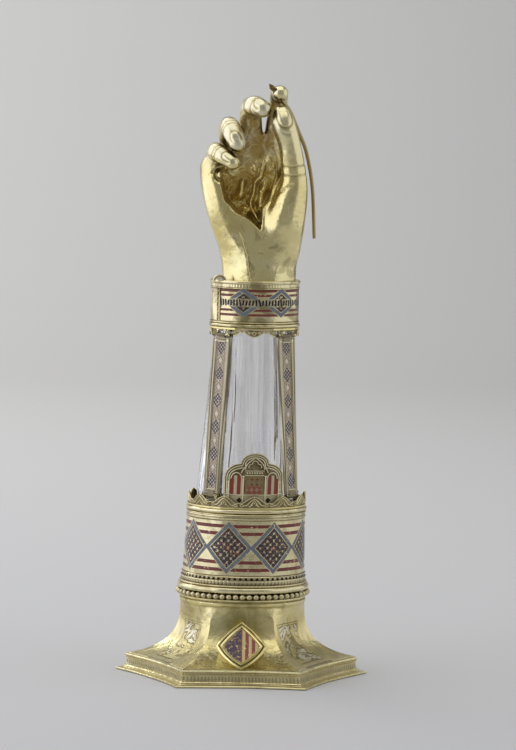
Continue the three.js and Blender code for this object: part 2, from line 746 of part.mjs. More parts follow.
function palmGeometry() {
  const ring = (width, depth, z, x) => ovalRing(width, depth, z, x, PALM_SIDES);
  const wrist = [cuffZ, cuffTopZ].map((z) => ring(WRIST_WIDTH, WRIST_DEPTH, z, handX + WRIST_OFFSET));
  const rest = PALM.map(([x, y, z, width, depth]) => {
    const centre = fromDrawing(x, y, z);
    const level = ring(width * handScale, depth * handScale, centre.z, centre.x);
    return level.map((point) => point.add(new THREE.Vector3(0, centre.y, 0)));
  });
  return loft([...wrist, ...rest]);
}

// Joint lists are drawn from the foot's axis, so the arm's lean is taken off before scaling
function handLimb(joints, sides, steps) {
  const local = joints.map(([x, y, z, radius]) => [x - ARM_LEAN, y, z, radius]);
  return atHandScale(limb(local, sides, steps));
}

function quillPath() {
  const drawn = [
    [13.2, -21, 161],
    [17, -18, 152],
    [23, -12.5, 143.5],
    [31, -6, 136],
    [38.6, -3.5, 119],
    [45, -3, 103],
    [50.2, -3, 75],
    [52.6, -2, 34],
  ];
  return new THREE.CatmullRomCurve3(drawn.map(([x, y, z]) => fromDrawing(x, y, z)));
}

function quillGeometry(grow, steps = 16) {
  const shape = new THREE.Shape();
  const sides = 6;
  for (let i = 0; i < sides; i++) {
    const angle = (i / sides) * 2 * Math.PI;
    const x = (QUILL_THICKNESS / 2 + grow) * Math.cos(angle);
    const y = (QUILL_WIDTH / 2 + grow) * Math.sin(angle);
    if (i === 0) shape.moveTo(x, y);
    else shape.lineTo(x, y);
  }
  shape.closePath();
  return new THREE.ExtrudeGeometry(shape, { steps, extrudePath: quillPath(), curveSegments: 1 });
}

function handGeometry() {
  const body = joined([palmGeometry(), handLimb(THUMB, 10, 9), handLimb(HEEL, 10, 5)]);
  const cutter = new THREE.SphereGeometry(1, 14, 10);
  cutter.scale(...HOLLOW.radii);
  cutter.rotateY(THREE.MathUtils.degToRad(-HOLLOW.lean));
  cutter.translate(HOLLOW.centre[0] - ARM_LEAN, HOLLOW.centre[1], HOLLOW.centre[2]);
  const hollowed = body.subtract(toSolid(atHandScale(cutter)));
  const fingerJoints = [FOREFINGER, MIDDLE_FINGER, RING_FINGER, LITTLE_FINGER];
  const fingers = fingerJoints.map((joints) => handLimb(joints, 8, 8));
  const whole = hollowed.add(joined(fingers));
  return toGeometry(whole.subtract(toSolid(quillGeometry(GAP))));
}

// The whole object
const reliquary = new THREE.Group();

function addNode(parent, name, geometry, finish) {
  const mesh = new THREE.Mesh(geometry, new THREE.MeshStandardMaterial(finish));
  mesh.name = name;
  parent.add(mesh);
  return mesh;
}

const foot = new THREE.Group();
reliquary.add(foot);
addNode(foot, "foot", footGeometry(), gilt);
const footBlock = toSolid(loft(footLevels().map(([corner, z, round]) => footRing(corner, z, round, GAP))));
addNode(foot, "foot_shield", shieldGeometry(footBlock), gilt);
addNode(foot, "beaded_ring", beadedRingGeometry(), gilt);

const arm = new THREE.Group();
reliquary.add(arm);
addNode(arm, "drum", drumGeometry(), gilt);
addNode(arm, "relic_floor", plateGeometry(drumTopWidth + 1, drumTopDepth + 1, floorZ), gilt);
addNode(arm, "drum_cresting", crestingGeometry(), gilt);
addNode(arm, "crystal_tube", crystalGeometry(), rockCrystal);
addNode(arm, "gable", gableGeometry(), gilt);
const STRAPS = {
  front_left: { low: -strapLowLeft, high: -STRAP_HIGH },
  front_right: { low: strapLowRight, high: STRAP_HIGH },
  back_right: { low: 180 - strapLowRight, high: 180 - STRAP_HIGH },
  back_left: { low: 180 + strapLowLeft, high: 180 + STRAP_HIGH },
};
for (const [name, turns] of Object.entries(STRAPS)) {
  addNode(arm, "strap_" + name, strapSolid(turns), gilt);
  addNode(arm, "hinge_low_" + name, hingeBracket(turns, lowHingeZ, floorTopZ + GAP), darkGilt);
  addNode(arm, "hinge_high_" + name, hingeBracket(turns, highHingeZ, ceilingZ - GAP), darkGilt);
  addNode(arm, "pin_low_" + name, hingePin(turns, lowHingeZ), darkGilt);
  addNode(arm, "pin_high_" + name, hingePin(turns, highHingeZ), darkGilt);
}
addNode(arm, "relic_ceiling", plateGeometry(cuffWidth + 1, cuffDepth + 1, ceilingZ), gilt);
addNode(arm, "pendants_front", pendantGeometry(0, PENDANT_FRONT_REACH), gilt);
addNode(arm, "pendants_right", pendantGeometry(90, PENDANT_SIDE_REACH), gilt);
addNode(arm, "pendants_back", pendantGeometry(180, PENDANT_FRONT_REACH), gilt);
addNode(arm, "pendants_left", pendantGeometry(270, PENDANT_SIDE_REACH), gilt);
addNode(arm, "wrist_cuff", cuffGeometry(), gilt);
addNode(arm, "hand", handGeometry(), gilt);
addNode(arm, "quill", quillGeometry(0), darkGilt);

export default reliquary;
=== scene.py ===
# %% [markdown]
# This lesson dresses an arm reliquary: a gilt hand on an enamelled cuff, an arm of rock crystal held by
# hinged straps, an oval drum and a spreading foot. The solids are loaded first, since every piece is
# measured from them, and no solid is moved. Sizes are written in millimetres and turned into metres
# where a mesh is made.

import math
from functools import partial

import bpy
import numpy as np
from mathutils import Matrix, Vector


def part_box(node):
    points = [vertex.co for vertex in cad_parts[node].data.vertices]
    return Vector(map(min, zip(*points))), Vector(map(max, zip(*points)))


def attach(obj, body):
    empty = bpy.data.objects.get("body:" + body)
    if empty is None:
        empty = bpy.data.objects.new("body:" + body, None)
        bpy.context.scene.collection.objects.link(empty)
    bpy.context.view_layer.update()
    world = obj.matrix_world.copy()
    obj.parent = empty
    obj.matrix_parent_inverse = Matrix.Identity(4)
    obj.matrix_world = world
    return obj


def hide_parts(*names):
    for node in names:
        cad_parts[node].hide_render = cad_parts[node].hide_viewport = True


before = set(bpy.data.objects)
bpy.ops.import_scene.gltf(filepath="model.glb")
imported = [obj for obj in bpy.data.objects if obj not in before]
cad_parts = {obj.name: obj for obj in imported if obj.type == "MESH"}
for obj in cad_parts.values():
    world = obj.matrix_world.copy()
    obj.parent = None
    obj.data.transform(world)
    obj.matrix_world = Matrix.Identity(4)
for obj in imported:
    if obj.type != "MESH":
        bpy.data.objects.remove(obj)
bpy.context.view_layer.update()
MM = 0.001

# %% [markdown]
# An operator acts on all that is selected, so each step starts from an empty selection. These helpers
# select one piece, write its place into its mesh, shade it smooth with crisp edges, and hang it on the
# object's one body.

# %% Helpers for pieces
def deselect():
    if bpy.context.mode != "OBJECT":
        bpy.ops.object.mode_set(mode="OBJECT")
    bpy.ops.object.select_all(action="DESELECT")


def only(piece):
    deselect()
    piece.select_set(True)
    bpy.context.view_layer.objects.active = piece


def settle(piece):
    only(piece)
    bpy.ops.object.transform_apply(location=True, rotation=True, scale=True)


def edit_all(piece):
    only(piece)
    bpy.ops.object.mode_set(mode="EDIT")
    bpy.ops.mesh.select_all(action="SELECT")


def outward(piece):
    edit_all(piece)
    bpy.ops.mesh.remove_doubles(threshold=1e-6)
    bpy.ops.mesh.normals_make_consistent(inside=False)
    bpy.ops.object.mode_set(mode="OBJECT")


def smooth(piece, degrees=40):
    only(piece)
    bpy.ops.object.shade_smooth_by_angle(angle=math.radians(degrees))


def join(pieces):
    deselect()
    for piece in pieces:
        piece.select_set(True)
    bpy.context.view_layer.objects.active = pieces[0]
    bpy.ops.object.join()
    return bpy.context.active_object


def new_piece(name, points, faces):
    """A piece from points in millimetres"""
    mesh = bpy.data.meshes.new(name)
    mesh.from_pydata((np.array(points) * MM).tolist(), [], faces)
    piece = bpy.data.objects.new(name, mesh)
    bpy.context.scene.collection.objects.link(piece)
    return piece


def flat_uv(piece, spot):
    """One spot of the UV map for the whole piece, beyond the enamel of its pattern"""
    layer = piece.data.uv_layers.get("UVMap") or piece.data.uv_layers.new(name="UVMap")
    for item in layer.data:
        item.uv = spot


def dress(piece, name, finish, node):
    piece.name = name
    piece.data.materials.clear()
    piece.data.materials.append(finish)
    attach(piece, "root")
    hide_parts(node)
    print(name, len(piece.data.vertices), "points")


# %% [markdown]
# The photograph was taken with a long lens from about 3 m away, a little above the object. The camera
# stands there, looks slightly down at the middle of the object, and leans by about one degree as the
# picture does.

# %% Camera
LENS = 258.4
eye = Vector((0, -3, 0.5))
aim = Vector((11.3, 3672, -314.6)).normalized()
across = aim.cross(Vector((0, 0, 1))).normalized()
above = across.cross(aim)
roll = math.radians(1.1)
picture_x = across * math.cos(roll) + above * math.sin(roll)
picture_y = above * math.cos(roll) - across * math.sin(roll)
turn = Matrix((picture_x, picture_y, -aim)).transposed().to_4x4()

deselect()
bpy.ops.object.camera_add()
camera = bpy.context.active_object
camera.matrix_world = Matrix.Translation(eye) @ turn
camera.data.sensor_fit = "HORIZONTAL"
camera.data.sensor_width = 36
camera.data.lens = LENS
bpy.context.scene.camera = camera
print("camera at", [round(v, 3) for v in camera.location])

# %% [markdown]
# The object stands on a pale floor that curves up into a plain grey backdrop. Soft light comes from
# broad panels, because polished gilding shows what surrounds it: bright panels give the long pale
# streaks, and the dim room between them gives the olive shadows.

# %% Floor and backdrop
deselect()
bpy.ops.mesh.primitive_plane_add(size=1, location=(0, 0.6, -0.0005))
stage = bpy.context.active_object
stage.scale = (9, 4.2, 1)
settle(stage)
bpy.ops.object.mode_set(mode="EDIT")
bpy.ops.mesh.select_all(action="DESELECT")
bpy.ops.object.mode_set(mode="OBJECT")
for edge in stage.data.edges:
    edge.select = all(stage.data.vertices[i].co.y > 2 for i in edge.vertices)
bpy.ops.object.mode_set(mode="EDIT")
for step in range(8):
    angle = math.radians(90 * (step + 0.5) / 8)
    bpy.ops.mesh.extrude_edges_move()
    bpy.ops.transform.translate(value=(0, 0.2 * math.cos(angle), 0.2 * math.sin(angle)))
bpy.ops.mesh.extrude_edges_move()
bpy.ops.transform.translate(value=(0, 0, 0.25))
bpy.ops.object.mode_set(mode="OBJECT")
stage.name = "floor"
pale = bpy.data.materials.new("plain pale floor")
pale.use_nodes = True
shader = pale.node_tree.nodes["Principled BSDF"]
shader.inputs["Base Color"].default_value = (0.603, 0.6, 0.588, 1)
shader.inputs["Roughness"].default_value = 0.7
stage.data.materials.append(pale)
smooth(stage, 60)


def light_panel(name, place, target, size, power, tone=(1, 1, 1)):
    deselect()
    bpy.ops.object.light_add(type="AREA", location=place)
    panel = bpy.context.active_object
    panel.name = name
    panel.rotation_euler = (Vector(target) - Vector(place)).to_track_quat("-Z", "Y").to_euler()
    panel.data.shape = "RECTANGLE"
    panel.data.size, panel.data.size_y = size
    panel.data.energy = power
    panel.data.color = tone
    return panel


light_panel("left_panel", (-1.35, -0.1, 0.8), (0, -0.1, 0.8), (2.9, 2.0), 19.5, (0.96, 0.98, 1.14))
light_panel("right_panel", (1.4, -0.1, 0.8), (0, -0.1, 0.8), (2.7, 2.0), 9.0, (0.97, 0.985, 1.08))
light_panel("top_panel", (-0.2, -0.1, 2.3), (0, 0, 0), (3.0, 2.6), 22.0)
light_panel("backdrop_panel", (-1.6, 2.0, 2.2), (-1.0, 3.5, 0.2), (2.4, 1.0), 44.0)

world = bpy.data.worlds.new("studio")
bpy.context.scene.world = world
world.use_nodes = True
background = world.node_tree.nodes["Background"]
background.inputs["Color"].default_value = (0.62, 0.62, 0.63, 1)
background.inputs["Strength"].default_value = 0.48
bpy.context.scene.view_settings.view_transform = "Standard"

# %% [markdown]
# Materials are built from nodes. A wire stands for the value at a node's output, and a sign between two
# wires adds the node that does the sum, so a pattern reads like plain arithmetic. Effects that several
# finishes share are node groups, built once each.

# %% Helpers for materials
class Wire:
    def __init__(self, socket):
        self.socket = socket
        self.tree = socket.id_data

    def __add__(self, other):
        return calc("ADD", self, other)

    def __sub__(self, other):
        return calc("SUBTRACT", self, other)

    def __rsub__(self, other):
        return calc("SUBTRACT", other, self)

    def __mul__(self, other):
        return calc("MULTIPLY", self, other)

    def __truediv__(self, other):
        return calc("DIVIDE", self, other)

    def __rtruediv__(self, other):
        return calc("DIVIDE", other, self)

    def __pow__(self, other):
        return calc("POWER", self, other)

    def __abs__(self):
        return calc("ABSOLUTE", self)


def feed(socket, value):
    if isinstance(value, Wire):
        socket.id_data.links.new(value.socket, socket)
    elif socket.type == "RGBA":
        socket.default_value = (*value[:3], 1)
    else:
        socket.default_value = value


def add(tree, kind, **inputs):
    node = tree.nodes.new(kind)
    for name, value in inputs.items():
        feed(node.inputs[name], value)
    return node


def node_of(values, slots, kind, **settings):
    """A node with these values in these inputs, made in the tree that the wires among them belong to"""
    node = next(value for value in values if isinstance(value, Wire)).tree.nodes.new(kind)
    for name, setting in settings.items():
        setattr(node, name, setting)
    for slot, value in zip(slots, values):
        feed(node.inputs[slot], value)
    return node


def calc(operation, *values):
    return Wire(node_of(values, (0, 1), "ShaderNodeMath", operation=operation).outputs[0])


most = partial(calc, "MAXIMUM")
least = partial(calc, "MINIMUM")
fract = partial(calc, "FRACT")
whole = partial(calc, "FLOOR")
root = partial(calc, "SQRT")


def blend(factor, low, high):
    return Wire(node_of((factor, low, high), (0, 6, 7), "ShaderNodeMix", data_type="RGBA").outputs[2])


def ramp(value, low, high, to_low=0.0, to_high=1.0):
    values = (value, low, high, to_low, to_high)
    return Wire(node_of(values, range(5), "ShaderNodeMapRange", interpolation_type="SMOOTHSTEP").outputs[0])


def line(value, centre, half, soft=0.15):
    """1 where the value is near the centre, 0 elsewhere"""
    return ramp(abs(value - centre), half - soft, half + soft, 1.0, 0.0)


def noise(place, scale, detail=3.0, roughness=0.5, distortion=0.0):
    values = (place, scale, detail, roughness, distortion)
    slots = ("Vector", "Scale", "Detail", "Roughness", "Distortion")
    return Wire(node_of(values, slots, "ShaderNodeTexNoise").outputs["Fac"])


def split(place):
    return [Wire(part) for part in add(place.tree, "ShaderNodeSeparateXYZ", Vector=place).outputs]


def stretch(place, scale, rotation=(0, 0, 0)):
    return Wire(add(place.tree, "ShaderNodeMapping", Vector=place, Scale=scale, Rotation=rotation).outputs[0])


def object_place(tree):
    return Wire(tree.nodes.new("ShaderNodeTexCoord").outputs["Object"])


def map_place(tree, across, up):
    """The two numbers of the UV map, each times its own unit"""
    node = tree.nodes.new("ShaderNodeUVMap")
    node.uv_map = "UVMap"
    parts = split(Wire(node.outputs[0]))
    return parts[0] * across, parts[1] * up


def attribute(tree, name):
    node = tree.nodes.new("ShaderNodeAttribute")
    node.attribute_name = name
    return Wire(node.outputs["Fac"])


def length(first, second):
    return root(first ** 2.0 + second ** 2.0)


def in_cell(value):
    """How far the value is from the nearest whole number"""
    return fract(value + 0.5) - 0.5


def weighted(share, low, high):
    return low * (1.0 - share) + share * high


def chipped(enamelled, place, scale, low, share, roughness=0.55):
    """Enamel with small chips broken out of it"""
    return enamelled * (1.0 - ramp(noise(place, scale, 3.0, roughness), low, low + 0.04) * share)


def clouded(glass, place, scale, share, tone):
    """Old enamel, cloudy and a little stained"""
    return blend(noise(place, scale, 4.0, 0.6) * share, glass, tone)


def new_group(name, inputs, outputs):
    tree = bpy.data.node_groups.new(name, "ShaderNodeTree")
    for side, labels in (("INPUT", inputs), ("OUTPUT", outputs)):
        for label in labels.split():
            kind = "NodeSocketColor" if label == "Color" else "NodeSocketFloat"
            tree.interface.new_socket(name=label, in_out=side, socket_type=kind)
    source = tree.nodes.new("NodeGroupInput")
    result = tree.nodes.new("NodeGroupOutput")
    return tree, {socket.name: Wire(socket) for socket in source.outputs}, result.inputs


def use(tree, group, **inputs):
    node = tree.nodes.new("ShaderNodeGroup")
    node.node_tree = group
    for name, value in inputs.items():
        feed(node.inputs[name], value)
    return {socket.name: Wire(socket) for socket in node.outputs}


def shade(*rgb):
    """A colour as it looks on the screen, turned into the linear numbers that nodes take."""
    return tuple((v / 255 / 12.92) if v < 11 else ((v / 255 + 0.055) / 1.055) ** 2.4 for v in rgb)


# %% [markdown]
# Old gilding isn't one colour. It is pale and silvery where hands have worn it, warm where it is thick,
# and brown in the hollows, where dirt sits and where painted shade stands for the shade that falls there,
# and the sheet under it keeps soft dents and fine scratches from the hammer and the polishing cloth. The
# group gives a colour, a roughness and a height for all of that, from the piece's hollows.

# %% Gilding group
GOLD_PALE = shade(236, 224, 164)
GOLD_WARM = shade(222, 204, 130)
GOLD_DEEP = shade(92, 74, 34)
AGED = shade(226, 217, 182)
SILVER = shade(230, 225, 196)

gilding, given, result = new_group("gilding", "Hollow Wear Dents Silver", "Color Roughness Height")
place = object_place(gilding)
broad = noise(place, 22.0, 3.0, 0.55)
cloudy = noise(place, 90.0, 5.0, 0.6, 0.4)
speck = noise(place, 900.0, 3.0, 0.6)
scratch = ramp(noise(stretch(place, (1600, 1600, 120), (0.3, 0.7, 0.2)), 1.0, 2.0, 0.5), 0.66, 0.74)
tone = blend(ramp(broad, 0.35, 0.68), GOLD_PALE, GOLD_WARM)
tone = blend(ramp(cloudy, 0.56, 0.72) * given["Wear"], tone, SILVER)
tone = blend(given["Silver"], tone, AGED)
# Dirt and painted shade: the deeper the hollow, the more the gilding goes towards deep gold
grime_and_shade = given["Hollow"] * ramp(cloudy, 0.25, 0.6, 0.55, 1.0)
tone = blend(most(grime_and_shade, ramp(speck, 0.68, 0.76) * 0.35), tone, GOLD_DEEP)
feed(result["Color"], tone)
feed(result["Roughness"], ramp(cloudy, 0.3, 0.7, 0.16, 0.27) + grime_and_shade * 0.22 + scratch * 0.12)
dents = noise(place, 130.0, 2.0, 0.5, 0.6) * given["Dents"]
feed(result["Height"], dents - scratch * 0.05 + speck * 0.05)
print("group:", gilding.name, len(gilding.nodes), "nodes")

# %% [markdown]
# A gilt finish puts the group into a metallic shader. Its hollows come from an attribute that each
# piece's mesh carries, and a finish with a pattern mixes its own colour, roughness and height over the
# gilding.

# %% Gilt finishes
def gilt_finish(name, wear=0.6, dents=0.6, bump=0.0006, silver=0.0, pattern=None):
    finish = bpy.data.materials.new(name)
    finish.use_nodes = True
    tree = finish.node_tree
    base = use(tree, gilding, Hollow=attribute(tree, "hollow"), Wear=wear, Dents=dents, Silver=silver)
    color, rough, height, metal = base["Color"], base["Roughness"], base["Height"], 1.0
    if pattern:
        color, rough, height, metal = pattern(tree, color, rough, height)
    relief = add(tree, "ShaderNodeBump", Strength=1.0, Distance=bump, Height=height)
    shader = tree.nodes["Principled BSDF"].inputs
    for label, value in (("Base Color", color), ("Roughness", rough), ("Metallic", metal)):
        feed(shader[label], value)
    feed(shader["Normal"], Wire(relief.outputs[0]))
    return finish


def toned(share, tone, rougher):
    """A pattern that only blends one tone over the gilding"""
    return lambda tree, color, rough, height: (blend(share, color, tone), rough + rougher, height, 1.0)


def hand_pattern(tree, color, rough, height):
    place = object_place(tree)
    side, _, up = split(place)
    tips = ramp(up, 0.405, 0.43) * ramp(side, 0.012, 0.03, 1.0, 0.35)
    bare = tips * ramp(attribute(tree, "hollow"), 0.1, 0.5, 0.6, 0.0)
    color = blend(bare, color, shade(226, 222, 200))
    stain = ramp(noise(place, 55.0, 5.0, 0.62, 1.2), 0.56, 0.66)
    color = blend(stain * ramp(up, 0.35, 0.41, 0.45, 0.1), color, shade(122, 116, 70))
    # The inside attribute makes the palm's hollow and the fingers' undersides brown and less metallic: partly their
    # own colour, partly painted shade
    inside = attribute(tree, "inside")
    crumple = noise(place, 82.0, 3.0, 0.55, 1.6)
    deep = inside * ramp(crumple, 0.5, 0.63, 1.0, 0.35)
    swell = noise(place, 34.0, 2.0, 0.5, 0.5) * 2.6 + crumple * inside * 6.0
    color = blend(deep, color, shade(176, 144, 60))
    return color, rough + bare * 0.16 + deep * 0.08, height + swell, 1.0 - deep * 0.4


def knuckle_pattern(tree, color, rough, height):
    # Painted shade in the recesses of the chased leaves: dark patches where the leaves sink, raised relief where they
    # rise
    leafy = noise(object_place(tree), 420.0, 2.0, 0.5, 1.0)
    leaf_recess_shade = blend(ramp(leafy, 0.5, 0.56, 0.8, 0.0), color, shade(58, 46, 26))
    return leaf_recess_shade, rough + 0.08, height + ramp(leafy, 0.5, 0.6) * 2.0, 1.0


GILT = gilt_finish("gilt silver")
TRIM = gilt_finish("paler gilding of borders", 0.5, 0.4, silver=0.65, pattern=toned(0.0, AGED, 0.12))
HAND_GILT = gilt_finish("gilt silver of the hand", 0.4, 0.4, silver=0.12, pattern=hand_pattern)
DARK_GILT = gilt_finish("darkened gilding", 0.3, 0.4, pattern=toned(0.62, shade(112, 92, 44), 0.12))
BLACKENED = gilt_finish("blackened pins", 0.2, 0.4, pattern=toned(0.85, shade(44, 36, 24), 0.2))
KNUCKLES = gilt_finish("chased gilding of the hinges", 0.5, 0.4, silver=0.6, pattern=knuckle_pattern)

# %% [markdown]
# The hollows attribute is measured from the mesh: a point whose neighbours stand in front of its tangent
# plane lies in a hollow. The measure is spread over the neighbours a few times, as dirt and shade are. It
# darkens the gilding as dirt and as painted shade, and a least amount of both can be laid over a whole piece.

# %% Hollows of a mesh
def read_points(mesh, what):
    values = np.zeros(len(mesh.vertices) * 3, np.float32)
    mesh.vertices.foreach_get(what, values)
    return values.reshape(-1, 3).astype(float)


def write_points(mesh, label, values):
    layer = mesh.attributes.get(label) or mesh.attributes.new(label, "FLOAT", "POINT")
    layer.data.foreach_set("value", np.clip(values, 0, 1).astype(np.float32))


def mark_hollows(piece, gain=1.0, spread=0, least_dirt_and_shade=0.0):
    mesh = piece.data
    count = len(mesh.vertices)
    points, normals = read_points(mesh, "co"), read_points(mesh, "normal")
    pairs = np.array([edge.vertices[:] for edge in mesh.edges])
    start, end = np.concatenate([pairs, pairs[:, ::-1]]).T
    way = points[end] - points[start]
    way /= np.linalg.norm(way, axis=1)[:, None] + 1e-12
    rise = np.einsum("ij,ij->i", way, normals[start])
    degree = np.bincount(start, minlength=count) + 1e-9
    value = np.bincount(start, rise, count) / degree
    for _ in range(spread):
        value = 0.5 * value + 0.5 * np.bincount(start, value[end], count) / degree
    write_points(mesh, "hollow", value * 4 * gain + least_dirt_and_shade)


def mark_parts(parts, gain, least_dirt_and_shade, spot=None):
    for part in parts:
        mark_hollows(part, gain, 0, least_dirt_and_shade)
        if spot:
            flat_uv(part, spot)


# %% [markdown]
# The enamel of the drum and the cuff is a chain of lozenges round the oval. Each has a light metal edge,
# a blue-grey border and a dark diaper sown with small pale florets. The group takes a place round the
# piece, counted in lozenges, and a height from the middle, and gives the colour, how much of it is
# enamel, and the relief.

# %% Lozenge group
BLUE_GREY = shade(110, 121, 128)
NIGHT = shade(40, 34, 44)
RED = shade(122, 46, 30)
CREAM = shade(198, 180, 150)

lozenge, given, result = new_group(
    "lozenge enamel", "Count Rise Pitch HalfHeight HalfWidth Florets", "Color Enamel Inside")
across_share = (fract(given["Count"]) - 0.5) * given["Pitch"] / given["HalfWidth"]
up_share = given["Rise"] / given["HalfHeight"]
reach = abs(across_share) + abs(up_share)
depth_in = (1.0 - reach) / length(1.0 / given["HalfHeight"], 1.0 / given["HalfWidth"])
border = ramp(depth_in, 0.4, 0.6) * ramp(depth_in, 3.2, 3.4, 1.0, 0.0)
field = ramp(depth_in, 3.7, 3.9)
stir = (noise(object_place(lozenge), 380.0, 2.0, 0.5) - 0.5) * 0.9
first = in_cell((across_share + up_share) * given["Florets"] + stir)
second = in_cell((across_share - up_share) * given["Florets"])
far = length(first, second)
petal = ramp(far + abs(first * second * 15.0), 0.34, 0.46, 1.0, 0.0)
color = blend(ramp(stir, 0.02, 0.1, 0.0, 0.55), NIGHT, RED)
color = blend(petal, color, CREAM)
color = blend(ramp(far, 0.08, 0.14, 1.0, 0.0), color, RED)
color = blend(ramp(reach, 0.1, 0.13, 1.0, 0.0), color, RED)
enamel = most(border, field * (1.0 - petal * 0.8))
feed(result["Color"], blend(border, color, BLUE_GREY))
feed(result["Enamel"], enamel)
feed(result["Inside"], ramp(depth_in, -0.1, 0.1))
print("group:", lozenge.name, len(lozenge.nodes), "nodes")


def lozenge_chain(tree, count, rise, sizes, band, stripes_at, stripe_half):
    """Colour, cover and stripes of a band with a chain of lozenges over red stripes"""
    labels = ("Pitch", "HalfHeight", "HalfWidth", "Florets")
    enamel = use(tree, lozenge, Count=count, Rise=rise, **dict(zip(labels, sizes)))
    in_band = ramp(abs(rise), band, band + 0.2, 1.0, 0.0)
    stripes = 0.0
    for centre in stripes_at:
        stripes = most(stripes, line(rise, centre, stripe_half))
    stripes = stripes * ((1.0 - enamel["Inside"]) * in_band)
    return blend(stripes, enamel["Color"], RED), most(enamel["Enamel"] * in_band, stripes), stripes


# %% [markdown]
# Patterns that run round a piece read its UV map, where the first number is the share of a whole turn,
# with the seam at the back, and the second is the height in decimetres.

# %% Turns in the UV map
def lay_turns(piece, squash, centre):
    mesh = piece.data
    layer = mesh.uv_layers.get("UVMap") or mesh.uv_layers.new(name="UVMap")
    for face in mesh.polygons:
        shares = []
        for index in face.vertices:
            spot = mesh.vertices[index].co
            shares.append(math.atan2(spot.x - centre(spot.z / MM) * MM,
                                     -spot.y / squash) / (2 * math.pi) + 0.5)
        wraps = max(shares) - min(shares) > 0.5
        for loop, share, index in zip(face.loop_indices, shares, face.vertices):
            across_turn = share + 1 if wraps and share < 0.5 else share
            layer.data[loop].uv = (across_turn, mesh.vertices[index].co.z * 10)

# %% [markdown]
# The arm leans a little to the thumb's side as it rises, so each oval's centre moves with its height.
# Round pieces are raised from a circle: its edge is extruded level by level and made wider or narrower,
# which is how a turner or a smith would give the same section all round. A section is a list of (stand-
# out, rise) from the wall.

# %% Raising oval walls
def lean(z):
    return 5.5 * min(max((z - 69.2) / 212, 0), 1)


def raise_oval(levels, steps=144, closed=False):
    """levels are (half width, half depth, z, centre x)"""
    deselect()
    bpy.ops.mesh.primitive_circle_add(vertices=steps, radius=1)
    piece = bpy.context.active_object
    edit_all(piece)
    now = [value * MM for value in levels[0]]
    bpy.ops.transform.resize(value=(now[0], now[1], 1))
    bpy.ops.transform.translate(value=(now[3], 0, now[2]))
    for level in levels[1:]:
        new = [value * MM for value in level]
        bpy.ops.mesh.extrude_edges_move()
        bpy.ops.transform.resize(
            value=(new[0] / now[0], new[1] / now[1], 1), center_override=(now[3], 0, now[2])
        )
        bpy.ops.transform.translate(value=(new[3] - now[3], 0, new[2] - now[2]))
        now = new
    if closed:
        bpy.ops.mesh.select_all(action="DESELECT")
        bpy.ops.mesh.select_non_manifold()
        bpy.ops.mesh.bridge_edge_loops()
    bpy.ops.object.mode_set(mode="OBJECT")
    settle(piece)
    return piece


def torus(out, low, high, bulge, steps=6):
    """Points of a half-round moulding between two heights"""
    angles = [math.pi * i / steps for i in range(steps + 1)]
    return [(out + bulge * math.sin(a), low + (high - low) * (1 - math.cos(a)) / 2) for a in angles]


def sleeve(section, half_width, half_depth, z, height, narrowing=0.0, wall=2.2):
    def level(out, rise):
        grow = out - narrowing * rise / height
        return (half_width + grow, half_depth + grow, z + rise, lean(z + rise))

    outer = [level(out, rise) for out, rise in section]
    inner = [level(-wall, height), level(-wall, 0)]
    piece = raise_oval(outer + inner, closed=True)
    outward(piece)
    lay_turns(piece, half_depth / half_width, lean)
    mark_hollows(piece, 5.5, 0)
    smooth(piece, 50)
    return piece


# %% [markdown]
# The drum is a sleeve of sheet with mouldings at both ends. Its wall is enamelled: a chain of lozenges
# over red stripes. Below the enamel runs a row of small dark square holes and a stamped border, above it
# a plain band with an engraved line. All of these lines go round the oval, so they are drawn in the
# material from the height.

# %% Drum finish
DRUM_Z = 69.2
DRUM_HEIGHT = 67.8
BAND_MIDDLE = 106.2


def drum_pattern(tree, color, rough, height):
    turns, z = map_place(tree, 1.0, 100.0)
    place = object_place(tree)
    rise = z - BAND_MIDDLE
    glass, enamelled, stripes = lozenge_chain(
        tree, turns * 8.0 + 0.86, rise, (37.4, 21.8, 20.6, 3.7), 22.2, (17.4, 11.4, -11.8, -17.8), 1.35)
    holes = line(fract(turns * 70.0) - 0.5, 0.0, 0.24, 0.04) * line(z, 80.9, 0.95)
    small = fract(turns * 96.0) - 0.5
    arches = (0.3 - (small * small + line(z, 77.2, 1.3, 0.5) * 0.25)) * line(z, 77.4, 2.3, 0.2)
    engraved = line(z, 130.6, 0.25)
    glass = clouded(glass, place, 260.0, 0.4, shade(70, 62, 64))
    flecks = ramp(noise(place, 1100.0, 2.0, 0.5), 0.56, 0.66) * 0.42
    glass = blend(flecks * (1.0 - stripes), glass, CREAM)
    enamelled = chipped(enamelled, place, 420.0, 0.63, 0.85)
    stain = ramp(noise(place, 46.0, 5.0, 0.62, 1.0), 0.48, 0.64, 0.0, 0.4)
    tinted = blend(enamelled, blend(stain, color, shade(132, 118, 74)), glass)
    # The small holes and the gaps between the stamped arches are painted dark, painted shade in them; the engraved
    # line is darkened too
    teeth = ramp(abs(small), 0.32, 0.4) * line(z, 77.2, 1.2, 0.3)
    tinted = blend(most(holes, most(engraved, teeth) * 0.6), tinted, shade(36, 28, 18))
    relief = height - enamelled * 0.25 - holes * 1.2 + arches * 1.6 - engraved * 0.6
    return tinted, weighted(enamelled, rough, 0.3), relief, 1.0 - enamelled


DRUM_FINISH = gilt_finish("gilt silver with lozenge enamel", wear=0.5, dents=0.35, bump=0.0005, silver=0.65,
                          pattern=drum_pattern)

